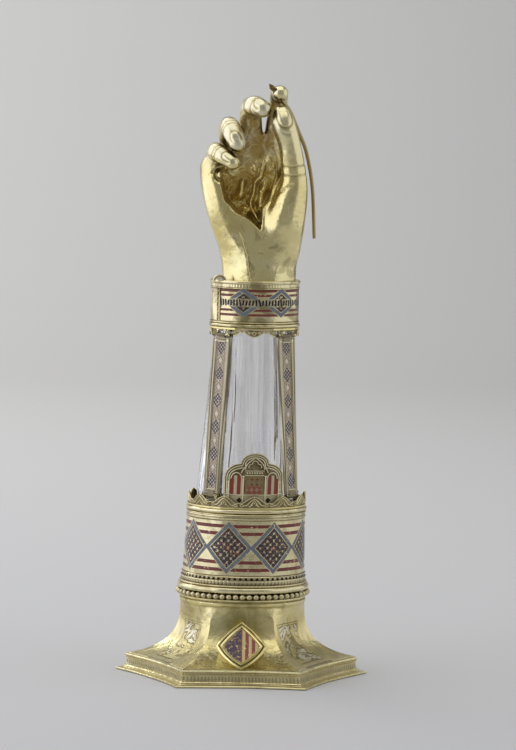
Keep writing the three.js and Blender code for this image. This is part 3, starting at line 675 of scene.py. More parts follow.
# %% Drum
section = [(2.2, 0)] + torus(2.4, 0.2, 4.6, 1.2) + [(1.5, 5.0)] + torus(1.5, 5.2, 6.6, 0.5, 4) + [(0.9, 6.9)]
section += [(0.9, 10.2)] + torus(0.8, 10.4, 10.9, 0.4, 3) + [(0.5, 11.2), (0.4, 12.9)] + torus(0.4, 13.0,
                                                                                               13.8, 0.5, 4)
section += [(0, 14.2), (0, 15.0), (0, 32.0), (0, 48.0), (0, 58.2), (0, 59.2)] + torus(0.2, 59.4, 60.4, 0.5, 4)
section += [(0.2, 60.8), (0.3, 62.6)] + torus(0.2, 62.7, 63.9, 0.8, 4) + [(0.1, 64.3)] + torus(0.2, 64.6,
                                                                                               67.8, 1.25)
drum = sleeve(section, 50.3, 42.5, DRUM_Z, DRUM_HEIGHT, narrowing=2.5, wall=2.2)
dress(drum, "enamelled_drum", DRUM_FINISH, "drum")

# %% [markdown]
# Between foot and drum lies a ring of beads. One bead is made as a small round ball, drawn out a little
# along the ring, and copied round the oval with its own mesh each time, on a thin wire.

# %% Beads
RING_Z, RING_HALF = 66.7, (52.7, 45.2)
RING_WIRE = 1.1
BEAD_RADIUS = 2.15
BEADS = 56


def bent_wire(name, points, radius, closed=False, sides=3):
    """A round wire through points in millimetres, each with a swell of its own if it has a fourth number"""
    deselect()
    curve = bpy.data.curves.new(name, "CURVE")
    curve.dimensions = "3D"
    spline = curve.splines.new("POLY")
    spline.points.add(len(points) - 1)
    for spot, (x, y, z, *swell) in zip(spline.points, points):
        spot.co = (x * MM, y * MM, z * MM, 1)
        spot.radius = swell[0] if swell else 1.0
    spline.use_cyclic_u = closed
    curve.bevel_depth = radius * MM
    curve.bevel_resolution = sides
    curve.use_fill_caps = not closed
    piece = bpy.data.objects.new(name, curve)
    bpy.context.scene.collection.objects.link(piece)
    only(piece)
    bpy.ops.object.convert(target="MESH")
    piece = bpy.context.active_object
    outward(piece)
    return piece


def wire_on(spot, points, radius, out, sides=2):
    """A wire through places on a bent face"""
    return bent_wire("wire", [spot(a, b, out) for a, b in points], radius, sides=sides)


def small_ball(x, y, z, radius, tall=1.0):
    deselect()
    at = (x * MM, y * MM, z * MM)
    bpy.ops.mesh.primitive_uv_sphere_add(segments=8, ring_count=6, radius=radius * MM, location=at)
    ball = bpy.context.active_object
    ball.scale = (1, 1, tall)
    settle(ball)
    return ball


def copies(master, places):
    pieces = []
    for x, y, z, angle in places:
        piece = master.copy()
        piece.data = master.data.copy()
        bpy.context.scene.collection.objects.link(piece)
        piece.location = (x * MM, y * MM, z * MM)
        piece.rotation_euler = (0, 0, angle)
        pieces.append(piece)
    bpy.data.objects.remove(master)
    whole = join(pieces)
    settle(whole)
    return whole


def even_turns(half_width, half_depth, count, start=0.0):
    """Turns round an oval at equal steps of its length"""
    fine = np.linspace(0, 2 * math.pi, 2049)
    speed = np.hypot(half_width * np.cos(fine), half_depth * np.sin(fine))
    run = np.concatenate([[0], np.cumsum((speed[1:] + speed[:-1]) / 2)])
    wanted = (np.arange(count) + start) * run[-1] / count
    return np.interp(wanted, run, fine)


def oval_spots(half_width, half_depth, z, turns):
    """Places round an oval, each with the way it faces"""
    return [(half_width * math.sin(t) + lean(z), -half_depth * math.cos(t), z,
             math.atan2(half_depth * math.sin(t), half_width * math.cos(t))) for t in turns]


deselect()
bpy.ops.mesh.primitive_uv_sphere_add(segments=14, ring_count=9, radius=BEAD_RADIUS * MM)
bead = bpy.context.active_object
bead.scale = (1.1, 1, 1)
settle(bead)
beads = copies(bead, oval_spots(*RING_HALF, RING_Z, even_turns(*RING_HALF, BEADS)))
wire_levels = []
for a in np.linspace(0, 2 * math.pi, 9)[:-1]:
    grow, rise = RING_WIRE * math.cos(a), RING_WIRE * math.sin(a)
    wire_levels.append((RING_HALF[0] + grow, RING_HALF[1] + grow, RING_Z + rise, 0))
wire = raise_oval(wire_levels, steps=112, closed=True)
outward(wire)
# Painted shade: the beads are darkened all over, and the wire fully, so that the gaps between beads are dark
mark_hollows(beads, 0.6, 0, 0.72)
mark_hollows(wire, 0.0, 0, 1.0)
beads = join([beads, wire])
smooth(beads, 60)
dress(beads, "bead_ring", TRIM, "beaded_ring")

# %% [markdown]
# The cuff that closes the crystal is a lower sleeve of the same kind, with smaller lozenges. A light
# band with rows of shallow strokes runs between them; the strokes are plain marks of uneven height and
# are no letters.

# %% Cuff finish
CUFF_Z = 283.3
CUFF_HEIGHT = 37.7
CUFF_MIDDLE = 303.4
CUFF_HALF, CUFF_X = (35.8, 30.5), 5.5


def cuff_pattern(tree, color, rough, height):
    turns, z = map_place(tree, 1.0, 100.0)
    place = object_place(tree)
    rise = z - CUFF_MIDDLE
    glass, enamelled, _ = lozenge_chain(
        tree, turns * 7.0 + 0.29, rise, (29.7, 12.3, 16.4, 2.7), 12.4, (9.6, 5.9, -6.0, -9.8), 0.95)
    # The band of strokes: thin marks at a fixed pitch, each with its own height and lean
    marks = turns * 84.0
    chance = tree.nodes.new("ShaderNodeTexWhiteNoise")
    chance.noise_dimensions = "1D"
    feed(chance.inputs["W"], whole(marks))
    luck = Wire(chance.outputs["Value"])
    small = fract(marks) - 0.5
    tall = ramp(luck, 0.0, 1.0, 2.0, 3.1)
    stroke = line(small + (luck - 0.5) * (rise * 0.22), 0.0, 0.29, 0.06)
    stroke = stroke * ramp(abs(rise), tall - 0.2, tall, 1.0, 0.0)
    ribbon = line(rise, 0.0, 3.4, 0.2) * line(turns, 0.51, 0.2, 0.005)
    glass = clouded(glass, place, 300.0, 0.35, shade(74, 66, 66))
    shown = ramp(split(place)[0], -0.0232, -0.0222)
    enamelled = chipped(enamelled * (1.0 - ribbon * 0.55), place, 480.0, 0.63, 0.8) * shown
    stroke = stroke * ribbon * shown
    stain = ramp(noise(place, 62.0, 5.0, 0.62, 1.0), 0.44, 0.6, 0.0, 0.6)
    tinted = blend(enamelled, blend(stain, color, shade(118, 104, 60)), glass)
    tinted = blend(stroke, tinted, shade(34, 28, 26))
    arches = (0.3 - small * small) * line(z, 316.9, 1.3, 0.2)
    relief = height - enamelled * 0.25 - stroke * 0.5 + arches * 1.4
    return tinted, weighted(enamelled, rough, 0.3), relief, 1.0 - most(enamelled, stroke * 0.7)


CUFF_FINISH = gilt_finish("gilt silver cuff enamel", wear=0.5, dents=0.35, bump=0.0004, silver=0.6,
                          pattern=cuff_pattern)

# %% Cuff
section = [(0.5, 0)] + torus(0.2, 0.1, 2.6, 1.1) + [(0.1, 2.9)] + torus(0.1, 3.1, 4.3, 0.5, 4) + [(0, 4.7),
                                                                                                  (0, 5.5)]
section += [(0, 12.0), (0, 24.0), (0, 30.0), (0, 30.8)] + torus(0.1, 31.0, 32.0, 0.5, 4) + [(0.1, 32.4),
                                                                                            (0.1, 34.6)]
section += torus(0.1, 34.8, 37.7, 1.15)
cuff_levels = [(CUFF_HALF[0] + out, CUFF_HALF[1] + out, CUFF_Z + rise, CUFF_X) for out, rise in section]
top = CUFF_Z + CUFF_HEIGHT
cuff_levels += [(32.4, 26.6, top - 0.6, 7.0), (30.1, 23.9, top - 1.0, 8.8), (30.1, 23.9, top - 2.2, 8.8)]
cuff_levels += [(33.4, 28.1, top - 3.4, CUFF_X), (33.4, 28.1, CUFF_Z, CUFF_X)]
cuff = raise_oval(cuff_levels, closed=True)
outward(cuff)
lay_turns(cuff, CUFF_HALF[1] / CUFF_HALF[0], lean)
mark_hollows(cuff, 5.5, 0)


def cuff_spot(t, z, out=0.0):
    """A point round the cuff, and how far out it stands"""
    return ((36.0 + out) * math.sin(t) + CUFF_X, -(30.7 + out) * math.cos(t), z)


# The seam's strip with its rivets, and the small loop that stands on the rim beside the wrist
seam = []
for turn in (-56.5, -51.5):
    strip = [cuff_spot(math.radians(turn), CUFF_Z + rise, 0.2) for rise in (5.0, 12, 20, 30.6)]
    seam.append(bent_wire("seam", strip, 0.45, sides=2))
for i in range(6):
    seam.append(small_ball(*cuff_spot(math.radians(-54), CUFF_Z + 7.5 + 4.3 * i, 0.1), 0.8))
loop = [(-23.4 + 4.4 * math.cos(a), -18.4, top - 0.6 + 3.8 * math.sin(a)) for a in np.linspace(0, math.pi,
                                                                                               13)]
seam.append(bent_wire("loop", loop, 1.1, sides=3))
mark_parts(seam, 1.0, 0.02, (0.1, 0.0))
cuff = join([cuff] + seam)
smooth(cuff, 50)
dress(cuff, "wrist_band", CUFF_FINISH, "wrist_cuff")

# %% [markdown]
# Under the cuff hangs an openwork border of small arcs and drops. It is drawn flat, as a row of upright
# columns cut to the border's wavy lower edge, and bent round the oval. Small balls hang at its points,
# and round eyelets stand in for the piercings.

# %% Openwork border
BORDER_TOP = 281.2
DROP_AT = [0, 0.12, 0.22, 0.4, 0.64, 0.8, 1]
DROP_BY = [5.5, 5.1, 4.3, 2.3, 1.8, 3.7, 5.2]


def column_wall(name, turns, low, high):
    """A thin upright band between two wavy edges, bent round the oval of the cuff"""
    rows = [cuff_spot(t, z, out) for t in turns for out in (0, -1.0) for z in (low(t), high)]
    faces = []
    for a in range(0, 4 * (len(turns) - 1), 4):
        b = a + 4
        faces += [(a, b, b + 1, a + 1), (a + 2, a + 3, b + 3, b + 2)]
        faces += [(a, a + 2, b + 2, b), (a + 1, b + 1, b + 3, a + 3)]
    faces += [(0, 1, 3, 2), (b, b + 2, b + 3, b + 1)]
    piece = new_piece(name, rows, faces)
    outward(piece)
    return piece


def eyelet(t, z, radius, wire=0.28):
    x, y, _ = cuff_spot(t, z, 0.1)
    ring = [(x + radius * math.cos(a) * math.cos(t), y + radius * math.cos(a) * math.sin(t),
             z + radius * math.sin(a))
            for a in np.linspace(0, 2 * math.pi, 11)[:-1]]
    return bent_wire("eyelet", ring, wire, closed=True, sides=1)


for name, middle, reach in (("front", 0, 27.8), ("right", 90, 17.8), ("back", 180, 27.8),
                            ("left", 270, 17.8)):
    turns = np.radians(np.linspace(middle - reach, middle + reach, 81))

    def low_edge(t):
        share = abs(math.degrees(t) - middle) / reach
        return BORDER_TOP - float(np.interp(share, DROP_AT, DROP_BY))

    border = [column_wall("border", turns, low_edge, BORDER_TOP)]
    edge = [cuff_spot(t, low_edge(t) + 0.25) for t in turns]
    border.append(bent_wire("edge", edge, 0.4, sides=2))
    for share in (-0.9, -0.68, -0.45, -0.24, 0.24, 0.45, 0.68, 0.9):
        t = math.radians(middle + reach * share)
        low = low_edge(t)
        border.append(eyelet(t, (low + BORDER_TOP) / 2 + 0.15, min(0.8, (BORDER_TOP - low) / 2 - 0.45)))
    border.append(eyelet(math.radians(middle), BORDER_TOP - 2.4, 1.3))
    for share in (-0.97, 0, 0.97):
        t = math.radians(middle + reach * share)
        border.append(small_ball(*cuff_spot(t, low_edge(t) + 0.7, -0.5), 0.6, 1.2))
    for share in (-0.8, -0.56, -0.34, -0.12, 0.12, 0.34, 0.56, 0.8):
        t = math.radians(middle + reach * share)
        border.append(small_ball(*cuff_spot(t, (low_edge(t) + BORDER_TOP) / 2 + 0.7), 0.5))
    mark_parts(border[1:], 0.8, 0.04)
    # Painted shade: the band behind the eyelets and balls is darkened all over, for the dark seen through the
    # piercings
    mark_hollows(border[0], 0.0, 0, 0.8)
    piece = join(border)
    smooth(piece)
    dress(piece, "openwork_" + name, TRIM, "pendants_" + name)

# %% [markdown]
# The relic chamber is a thick tapered tube of rock crystal. Its outside is a smooth oval, but its bore
# was ground by hand, so the bore gets soft flats: they bend the light into the upright bands that the
# crystal shows. Glass needs both walls and the true thickness, so the tube is one closed mesh.

# %% Crystal finish
CRYSTAL = bpy.data.materials.new("rock crystal")
CRYSTAL.use_nodes = True
tree = CRYSTAL.node_tree
shader = tree.nodes["Principled BSDF"].inputs
place = object_place(tree)
veil = noise(place, 60.0, 4.0, 0.6, 1.0)
# Upright grey streaks in the colour: painted shade that adds to the bands which the bore's flats bend into the crystal
band = ramp(noise(stretch(place, (210, 210, 0.8)), 1.0, 3.0, 0.6), 0.46, 0.58)
clear = blend(ramp(veil, 0.4, 0.8), (1.0, 1.0, 1.0), (0.97, 0.97, 0.98))
feed(shader["Base Color"], blend(band, clear, (0.86, 0.855, 0.87)))
feed(shader["Roughness"], ramp(veil, 0.35, 0.8, 0.01, 0.03))
ripple = noise(stretch(place, (150, 150, 0.9)), 1.0, 2.0, 0.5)
relief = add(tree, "ShaderNodeBump", Strength=1.0, Distance=0.0009, Height=ripple)
feed(shader["Normal"], Wire(relief.outputs[0]))
shader["Transmission Weight"].default_value = 1.0
shader["IOR"].default_value = 1.54

# %% Crystal tube
CRYSTAL_LOW, CRYSTAL_HIGH = 139.1, 281.2
LOW_HALF, HIGH_HALF = (41.7, 33.9), (31.8, 26.5)
CRYSTAL_WALL = 5.5


def crystal_half(z):
    share = (z - CRYSTAL_LOW) / (CRYSTAL_HIGH - CRYSTAL_LOW)
    return [a + (b - a) * share for a, b in zip(LOW_HALF, HIGH_HALF)]


levels = []
for i in range(13):
    z = CRYSTAL_LOW + (CRYSTAL_HIGH - CRYSTAL_LOW) * i / 12
    trim = 0.5 if i in (0, 12) else 0.0
    levels.append((*[half - trim for half in crystal_half(z)], z, lean(z)))
for i in range(12, -1, -1):
    z = CRYSTAL_LOW + (CRYSTAL_HIGH - CRYSTAL_LOW) * i / 12
    levels.append((*[half - CRYSTAL_WALL for half in crystal_half(z)], z, lean(z)))
tube = raise_oval(levels, closed=True)
for vertex in tube.data.vertices:
    z = vertex.co.z / MM
    half = crystal_half(z)
    x, y = vertex.co.x / MM - lean(z), vertex.co.y / MM
    if (x / half[0]) ** 2 + (y / half[1]) ** 2 < 0.86:
        flat = 0.45 * (1 - abs(math.cos(5 * math.atan2(x / half[0], y / half[1]))))
        vertex.co.x += flat * MM * x / half[0]
        vertex.co.y += flat * MM * y / half[1]
outward(tube)
smooth(tube, 60)
dress(tube, "rock_crystal", CRYSTAL, "crystal_tube")

# %% [markdown]
# Four straps hold the crystal, each a flat box with a moulded frame round a strip of enamel. The strap
# follows the crystal's slope, and its turn round the oval changes a little with its height. Its surface
# is laid out as a grid of (place across, height), and the stand-out of each point comes from its
# distance to the nearest edge, so that the frame has one section on all four sides. No primitive gives
# that, so the grid is written as a mesh.

# %% Strap finish
STRAP_LOW, STRAP_HIGH = 148.8, 274.7


def strap_pattern(tree, color, rough, height):
    u, z = map_place(tree, 10.0, 100.0)
    place = object_place(tree)
    away = abs(u)
    field = ramp(away, 4.0, 4.2, 1.0, 0.0) * line(z, 211.7, 59.2, 0.2)
    beat = (fract((z - 148.5) / 21.5) - 0.5) * 21.5
    cluster = ramp(away / 4.9 + abs(beat) / 7.4, 0.95, 1.05, 1.0, 0.0)
    petal = ramp(length(in_cell((u + beat) / 3.1), in_cell((u - beat) / 3.1)), 0.27, 0.36, 1.0, 0.0)
    lines = most(line(away, 2.2, 0.2, 0.1), line(away, 0.8, 0.2, 0.1))
    lines = most(line(away, 3.6, 0.22, 0.1), lines)
    diamond = ramp(away / 1.7 + (10.75 - abs(beat)) / 2.8, 0.85, 1.0, 1.0, 0.0)
    vee = line(fract((z + away) / 3.0), 0.5, 0.16, 0.06)
    glass = blend(lines, shade(226, 210, 176), shade(96, 50, 42))
    glass = blend(vee * 0.6, glass, shade(72, 54, 56))
    glass = blend(diamond, glass, shade(238, 228, 204))
    glass = blend(cluster, glass, blend(petal, shade(52, 42, 50), shade(206, 196, 176)))
    glass = clouded(glass, place, 340.0, 0.35, shade(120, 104, 92))
    enamelled = chipped(field, place, 500.0, 0.62, 0.8)
    color = blend(0.45, color, shade(250, 240, 206))
    # Painted shade on the hinge knuckles and tongues, which lie far beyond the strap's width in the map
    color = blend(ramp(away, 10.0, 11.0, 0.0, 0.8), color, shade(104, 88, 52))
    rim = ramp(z, STRAP_LOW, STRAP_HIGH, 7.6, 9.5) - away
    rills = most(line(rim, 1.5, 0.2, 0.1), line(rim, 0.3, 0.25, 0.1))
    edging = most(line(away, 4.45, 0.2, 0.06), line(away, 5.15, 0.17, 0.06)) * 0.95
    tinted = blend(most(edging, rills * 0.8), blend(enamelled, color, glass), shade(58, 46, 28))
    relief = height - most(cluster, lines) * field * 0.25
    return tinted, weighted(enamelled, rough + 0.18, 0.3), relief, 0.55 - enamelled * 0.5


STRAP_FINISH = gilt_finish("gilt silver strap enamel", wear=0.6, dents=0.3, bump=0.0004, silver=1.0,
                           pattern=strap_pattern)

# %% Straps
STRAP_LOW_WIDTH, STRAP_HIGH_WIDTH = 15.2, 19
FRAME_AT = [0, 0.25, 0.7, 1.15, 1.5, 1.9, 2.9, 3.3, 3.7, 4.1, 4.5]
FRAME_OUT = [1.5, 2.2, 2.55, 2.2, 1.75, 2.05, 2.1, 2.35, 2.05, 1.5, 1.35]


def frame_section(away):
    return float(np.interp(away, FRAME_AT, FRAME_OUT))


def grid_mesh(name, rows, uv_rows=None):
    """A sheet from rows of points in millimetres"""
    rows = np.array(rows)
    high, wide = rows.shape[:2]
    corners = [i for r in range(high - 1) for i in range(r * wide, (r + 1) * wide - 1)]
    piece = new_piece(name, rows.reshape(-1, 3), [(i, i + 1, i + wide + 1, i + wide) for i in corners])
    if uv_rows is not None:
        flat = np.array(uv_rows).reshape(-1, 2)
        layer = piece.data.uv_layers.new(name="UVMap")
        for loop in piece.data.loops:
            layer.data[loop.index].uv = flat[loop.vertex_index]
    return piece


def strap_place(turns, z, u, out):
    share = (z - CRYSTAL_LOW) / (CRYSTAL_HIGH - CRYSTAL_LOW)
    t = math.radians(turns[0] + (turns[1] - turns[0]) * share)
    half_w, half_d = [half + 0.65 for half in crystal_half(z)]
    away = Vector((math.sin(t) * half_d, -math.cos(t) * half_w, 0)).normalized()
    spot = Vector((half_w * math.sin(t), -half_d * math.cos(t), z)) + away * out + Vector((-away.y, away.x,
                                                                                           0)) * u
    return (spot.x + lean(z), spot.y, z)


def strap_half(z):
    share = (z - STRAP_LOW) / (STRAP_HIGH - STRAP_LOW)
    return (STRAP_LOW_WIDTH + (STRAP_HIGH_WIDTH - STRAP_LOW_WIDTH) * share) / 2


STRAPS = {"front_left": (-42, -49), "front_right": (57, 49), "back_right": (123, 131),
          "back_left": (222, 229)}
ends = [STRAP_LOW + v for v in FRAME_AT]
heights = ends + list(np.linspace(STRAP_LOW + 6, STRAP_HIGH - 6,
                                  30)) + [STRAP_HIGH - v for v in FRAME_AT[::-1]]
for name, turns in STRAPS.items():
    rows, places = [], []
    for z in heights:
        half = strap_half(z)
        us = [-half + v for v in FRAME_AT] + [-half / 4, 0, half / 4] + [half - v for v in FRAME_AT[::-1]]
        end = min(z - STRAP_LOW, STRAP_HIGH - z)
        row = [strap_place(turns, z, us[0], 0)]
        row += [strap_place(turns, z, u, frame_section(min(half - abs(u), end))) for u in us]
        row.append(strap_place(turns, z, us[-1], 0))
        rows.append(row)
        places.append([(us[0] / 10, z / 100)] + [(u / 10, z / 100) for u in us] + [(us[-1] / 10, z / 100)])
    back = [[strap_place(turns, z, u, 0) for u in np.linspace(-strap_half(z), strap_half(z),
                                                              len(rows[0]))] for z in
            (STRAP_LOW, STRAP_HIGH)]
    rows = [back[0]] + rows + [back[1]]
    places = [places[0]] + places + [places[-1]]
    strap = grid_mesh("strap", rows, places)
    edit_all(strap)
    bpy.ops.mesh.remove_doubles(threshold=1e-6)
    bpy.ops.mesh.select_all(action="DESELECT")
    bpy.ops.mesh.select_non_manifold()
    bpy.ops.mesh.edge_face_add()
    bpy.ops.object.mode_set(mode="OBJECT")
    outward(strap)
    mark_hollows(strap, 1.9, 0)
    knuckles = []
    for z, leaf in ((146.8, 2.6), (276.7, -2.6)):
        deselect()
        bpy.ops.mesh.primitive_cylinder_add(vertices=24, radius=1.68 * MM, depth=7 * MM)
        barrel = bpy.context.active_object
        edit_all(barrel)
        bpy.ops.mesh.bevel(offset=0.3 * MM, segments=2)
        bpy.ops.object.mode_set(mode="OBJECT")
        centre = Vector(strap_place(turns, z, 0, 1.7))
        side = (Vector(strap_place(turns, z, 1, 1.7)) - centre).normalized()
        barrel.rotation_euler = side.to_track_quat("Z", "Y").to_euler()
        barrel.location = centre * MM
        deselect()
        bpy.ops.mesh.primitive_cube_add(size=1)
        tongue = bpy.context.active_object
        tongue.scale = (7 * MM, 1.9 * MM, abs(leaf) * MM + 0.002)
        tongue.rotation_euler = side.to_track_quat("X", "Z").to_euler()
        tongue.location = (centre + Vector((0, 0, leaf * 0.8))) * MM
        for part in (barrel, tongue):
            settle(part)
            knuckles.append(part)
    # The knuckles and tongues also get a least amount of painted shade
    mark_parts(knuckles, 1.0, 0.5, (2.0, 0.0))
    strap = join([strap] + knuckles)
    smooth(strap, 38)
    dress(strap, "enamel_strap_" + name, STRAP_FINISH, "strap_" + name)

# %% [markdown]
# The gable is a plaque at the crystal's foot: a round arch between two lower half arches. Its ribs are
# wires of several thicknesses laid side by side on a bent plate, as a goldsmith solders them. The plate
# carries enamel in upright stripes, with a dark field and plain florets in the middle. The plate is a
# grid bent round the crystal.

# %% Gable finish
GABLE_TURN = math.radians(7.5)
GABLE_HALF, GABLE_TOP = 23.9, 43.7
ARCH_HALF, ARCH_SPRING, SHOULDER = 11.6, 35.5, 24.0


def gable_pattern(tree, color, rough, height):
    u, v = map_place(tree, 10.0, 10.0)
    place = object_place(tree)
    away = abs(u)
    low = ramp(v, 25.3, 25.6, 1.0, 0.0) * ramp(v, 9.9, 10.1)
    sides = ramp(away, 8.5, 8.7) * ramp(away, 19.4, 19.6, 1.0, 0.0)
    red = ramp(fract((away - 8.6) / 5.4), 0.42, 0.46)
    middle = ramp(away, 7.4, 7.6, 1.0, 0.0) * low
    first = fract(u / 4.2) - 0.5
    second = fract((v - 7.6) / 4.2) - 0.5
    far = length(first, second)
    floret = ramp(far + abs(first * second * 9.0), 0.36, 0.44, 1.0, 0.0)
    upper = blend(floret, shade(140, 124, 80), shade(134, 62, 44))
    lower = blend(floret, shade(148, 84, 62), shade(204, 184, 150))
    glass = blend(ramp(v, 16.0, 17.5), lower, upper)
    glass = blend(ramp(far, 0.1, 0.15, 1.0, 0.0), glass, shade(74, 44, 40))
    glass = blend(ramp(away, 5.9, 6.1), glass, shade(134, 118, 74))
    glass = blend(middle, blend(red, shade(212, 198, 160), shade(142, 56, 40)), glass)
    glass = clouded(glass, place, 360.0, 0.35, shade(90, 72, 60))
    enamelled = chipped(most(sides * low, middle), place, 500.0, 0.64, 0.8)
    sill = ramp(abs(v - 5.0), 4.8, 5.0, 1.0, 0.0)
    color = blend(sill * 0.8, color, shade(206, 196, 156))
    spots = abs(away - 11.7) + abs(v - 5.4)
    color = blend(ramp(spots, 2.3, 2.5, 1.0, 0.0), color, shade(52, 42, 34))
    relief = height - enamelled * 0.3
    return blend(enamelled, color, glass), weighted(enamelled, rough + 0.14,
                                                    0.28), relief, 0.75 - enamelled * 0.7


GABLE_FINISH = gilt_finish("gilt silver gable enamel", wear=0.5, dents=0.3, bump=0.0004, silver=0.9,
                           pattern=gable_pattern)

# %% Gable
def gable_spot(x, rise, out):
    """A point of the plaque bent round the crystal's foot"""
    half_w, half_d = 42.0 + out, 34.2 + out
    t = math.asin(x / half_w) + GABLE_TURN
    z = CRYSTAL_LOW + rise
    return (half_w * math.sin(t) + lean(z), -half_d * math.cos(t), z)


def gable_edge(x, inset=0.0):
    """Height of the plaque's edge, or of a line that runs inside it"""
    away = abs(x)
    half = ARCH_HALF - inset
    if away <= half:
        return ARCH_SPRING - inset * 0.2 + (GABLE_TOP - ARCH_SPRING - inset * 0.8) * math.sqrt(1 - (away / half) ** 2)
    share = min((away - half) / (GABLE_HALF - inset - half), 1)
    return SHOULDER + (ARCH_SPRING - SHOULDER - inset) * math.sqrt(max(0, 1 - share**2))


def edge_line(inset, low=0.6, steps=22):
    half = ARCH_HALF - inset
    outer = GABLE_HALF - inset
    xs = [-outer] + [-half - (outer - half) * math.cos(a) for a in np.linspace(0, math.pi / 2, steps)][1:]
    xs += [-half * math.cos(a) for a in np.linspace(0, math.pi, 2 * steps)]
    xs += [half + (outer - half) * math.sin(a) for a in np.linspace(0, math.pi / 2, steps)][:-1] + [outer]
    xs = [max(-outer, min(outer, x)) for x in xs]
    return [(-outer, low)] + [(x, gable_edge(x, inset)) for x in xs] + [(outer, low)]


xs = np.concatenate([np.linspace(-GABLE_HALF, -ARCH_HALF, 22)[:-1],
                     -ARCH_HALF * np.cos(np.linspace(0, math.pi, 31)),
                     np.linspace(ARCH_HALF, GABLE_HALF, 22)[1:]])
rows, places = [], []
for share in np.linspace(0, 1, 13):
    line_up = [(x, 0.2 + (gable_edge(x, 0.3) - 0.2) * share) for x in xs]
    rows.append([gable_spot(x, z, 1.6) for x, z in line_up])
    places.append([(x / 10, z / 10) for x, z in line_up])
plate = grid_mesh("plate", rows, places)
only(plate)
plate.modifiers.new("thickness", "SOLIDIFY").thickness = 1.4 * MM
plate.modifiers["thickness"].offset = -1 if plate.data.polygons[5].normal.y < 0 else 1
bpy.ops.object.modifier_apply(modifier="thickness")
# Painted shade: the plate is darkened all over, so that the gaps between its ribs are dark
mark_hollows(plate, 0.0, 0, 0.95)

parts = []


def rib(points, radius, out=2.0, sides=2):
    parts.append(wire_on(gable_spot, points, radius, out, sides))


for inset, radius, out in ((0.5, 0.5, 2.0), (2.05, 0.5, 2.1), (3.65, 0.55, 2.3)):
    rib(edge_line(inset), radius, out)
for x in (-20.6, -9.0, 9.0, 20.6):
    tall = 24.6 if abs(x) < 15 else 20
    rib([(x, 0.6), (x, tall)], 0.62, sides=3)
    parts.append(small_ball(*gable_spot(x, tall, 2.2), 1.0))
# A pointed arch with a small trefoil in it, over a sill
pointed = [(-7.8, 30.6), (-7.4, 33.0), (-5.8, 35.4), (-3.4, 37.6), (-1.2, 39.2), (0, 40.4)]
pointed += [(-x, z) for x, z in pointed[-2::-1]]
rib(pointed, 0.48, 2.1)
for cx, cz, radius, low, high in ((-3.1, 32.6, 2.1, 210, 80), (0, 35.2, 2.3, 190, -10),
                                  (3.1, 32.6, 2.1, 100, -30)):
    turns = np.radians(np.linspace(low, high, 9))
    rib([(cx + radius * math.cos(a), cz + radius * math.sin(a)) for a in turns], 0.36)
for side in (-1, 1):
    rib([(side * 11.0, 27.6), (side * 9.6, 30.4), (side * 8.2, 31.4)], 0.4)
    turns = np.linspace(0, math.pi, 13)
    rib([(side * (14.6 + 4.2 * math.cos(a)), 22.8 + 5.0 * math.sin(a)) for a in turns], 0.5, 2.1)
    for step, wide in ((10.2, 1.5), (13.6, 1.1)):
        rib([(side * (20.9 - wide), step), (side * (20.9 + wide), step)], 0.8, 2.2)
for i in range(7):
    parts.append(small_ball(*gable_spot(-6.0 + 2.0 * i, 27.6, 1.8), 0.62, 1.3))
for level, radius, wide in ((29.3, 0.36, 7.8), (25.6, 0.42, 7.8), (9.7, 0.5, 20.6)):
    rib([(x, level) for x in np.linspace(-wide, wide, 24)], radius, 1.9)
mark_parts(parts, 1.0, 0.05, (5.0, 5.0))
gable = join([plate] + parts)
smooth(gable)
dress(gable, "gable_plaque", GABLE_FINISH, "gable")

# %% [markdown]
# The leaf cresting stands on the drum's rim. Each leaf is an ogee with a smaller leaf outlined in wire
# on it, and between two leaves, where the cresting has a pierced quatrefoil, two small wire loops stand.
# One run of columns is cut to the leaves' edge and bent round the oval.

# %% Cresting
CREST_HALF = (47.8, 40.0)
CRESTS = 12


LEAF_AT = [0, 0.1, 0.22, 0.36, 0.52, 0.68, 0.84, 1]
LEAF_TALL = [1, 0.94, 0.8, 0.66, 0.42, 0.16, 0.04, 0.12]


def leaf_edge(share):
    """Height of the cresting; share goes from 0 to 1 from valley to valley over one leaf"""
    return 3.0 + 6.0 * float(np.interp(abs(share - 0.5) * 2, LEAF_AT, LEAF_TALL))


def crest_spot(t, rise, out):
    z = CRYSTAL_LOW + rise
    return ((CREST_HALF[0] + out) * math.sin(t) + lean(z), -(CREST_HALF[1] + out) * math.cos(t), z)


turns = GABLE_TURN + np.linspace(0, 2 * math.pi, CRESTS * 24 + 1)[:-1]
shares = [(i / 24 + 0.5) % 1 for i in range(len(turns))]
section = [(0, 0, -1.2), (0, 0, 0), (0.5, 0, -0.1), (1, -0.2, -0.1), (1, 0, -0.45), (1, -0.2, -1.1)]
rows = [[crest_spot(t, leaf_edge(s) * up + more, out) for t, s in zip(turns, shares)] for up, more,
        out in section]
rows = [row + [row[0]] for row in rows + [rows[0]]]
crest = grid_mesh("crest", rows)
outward(crest)
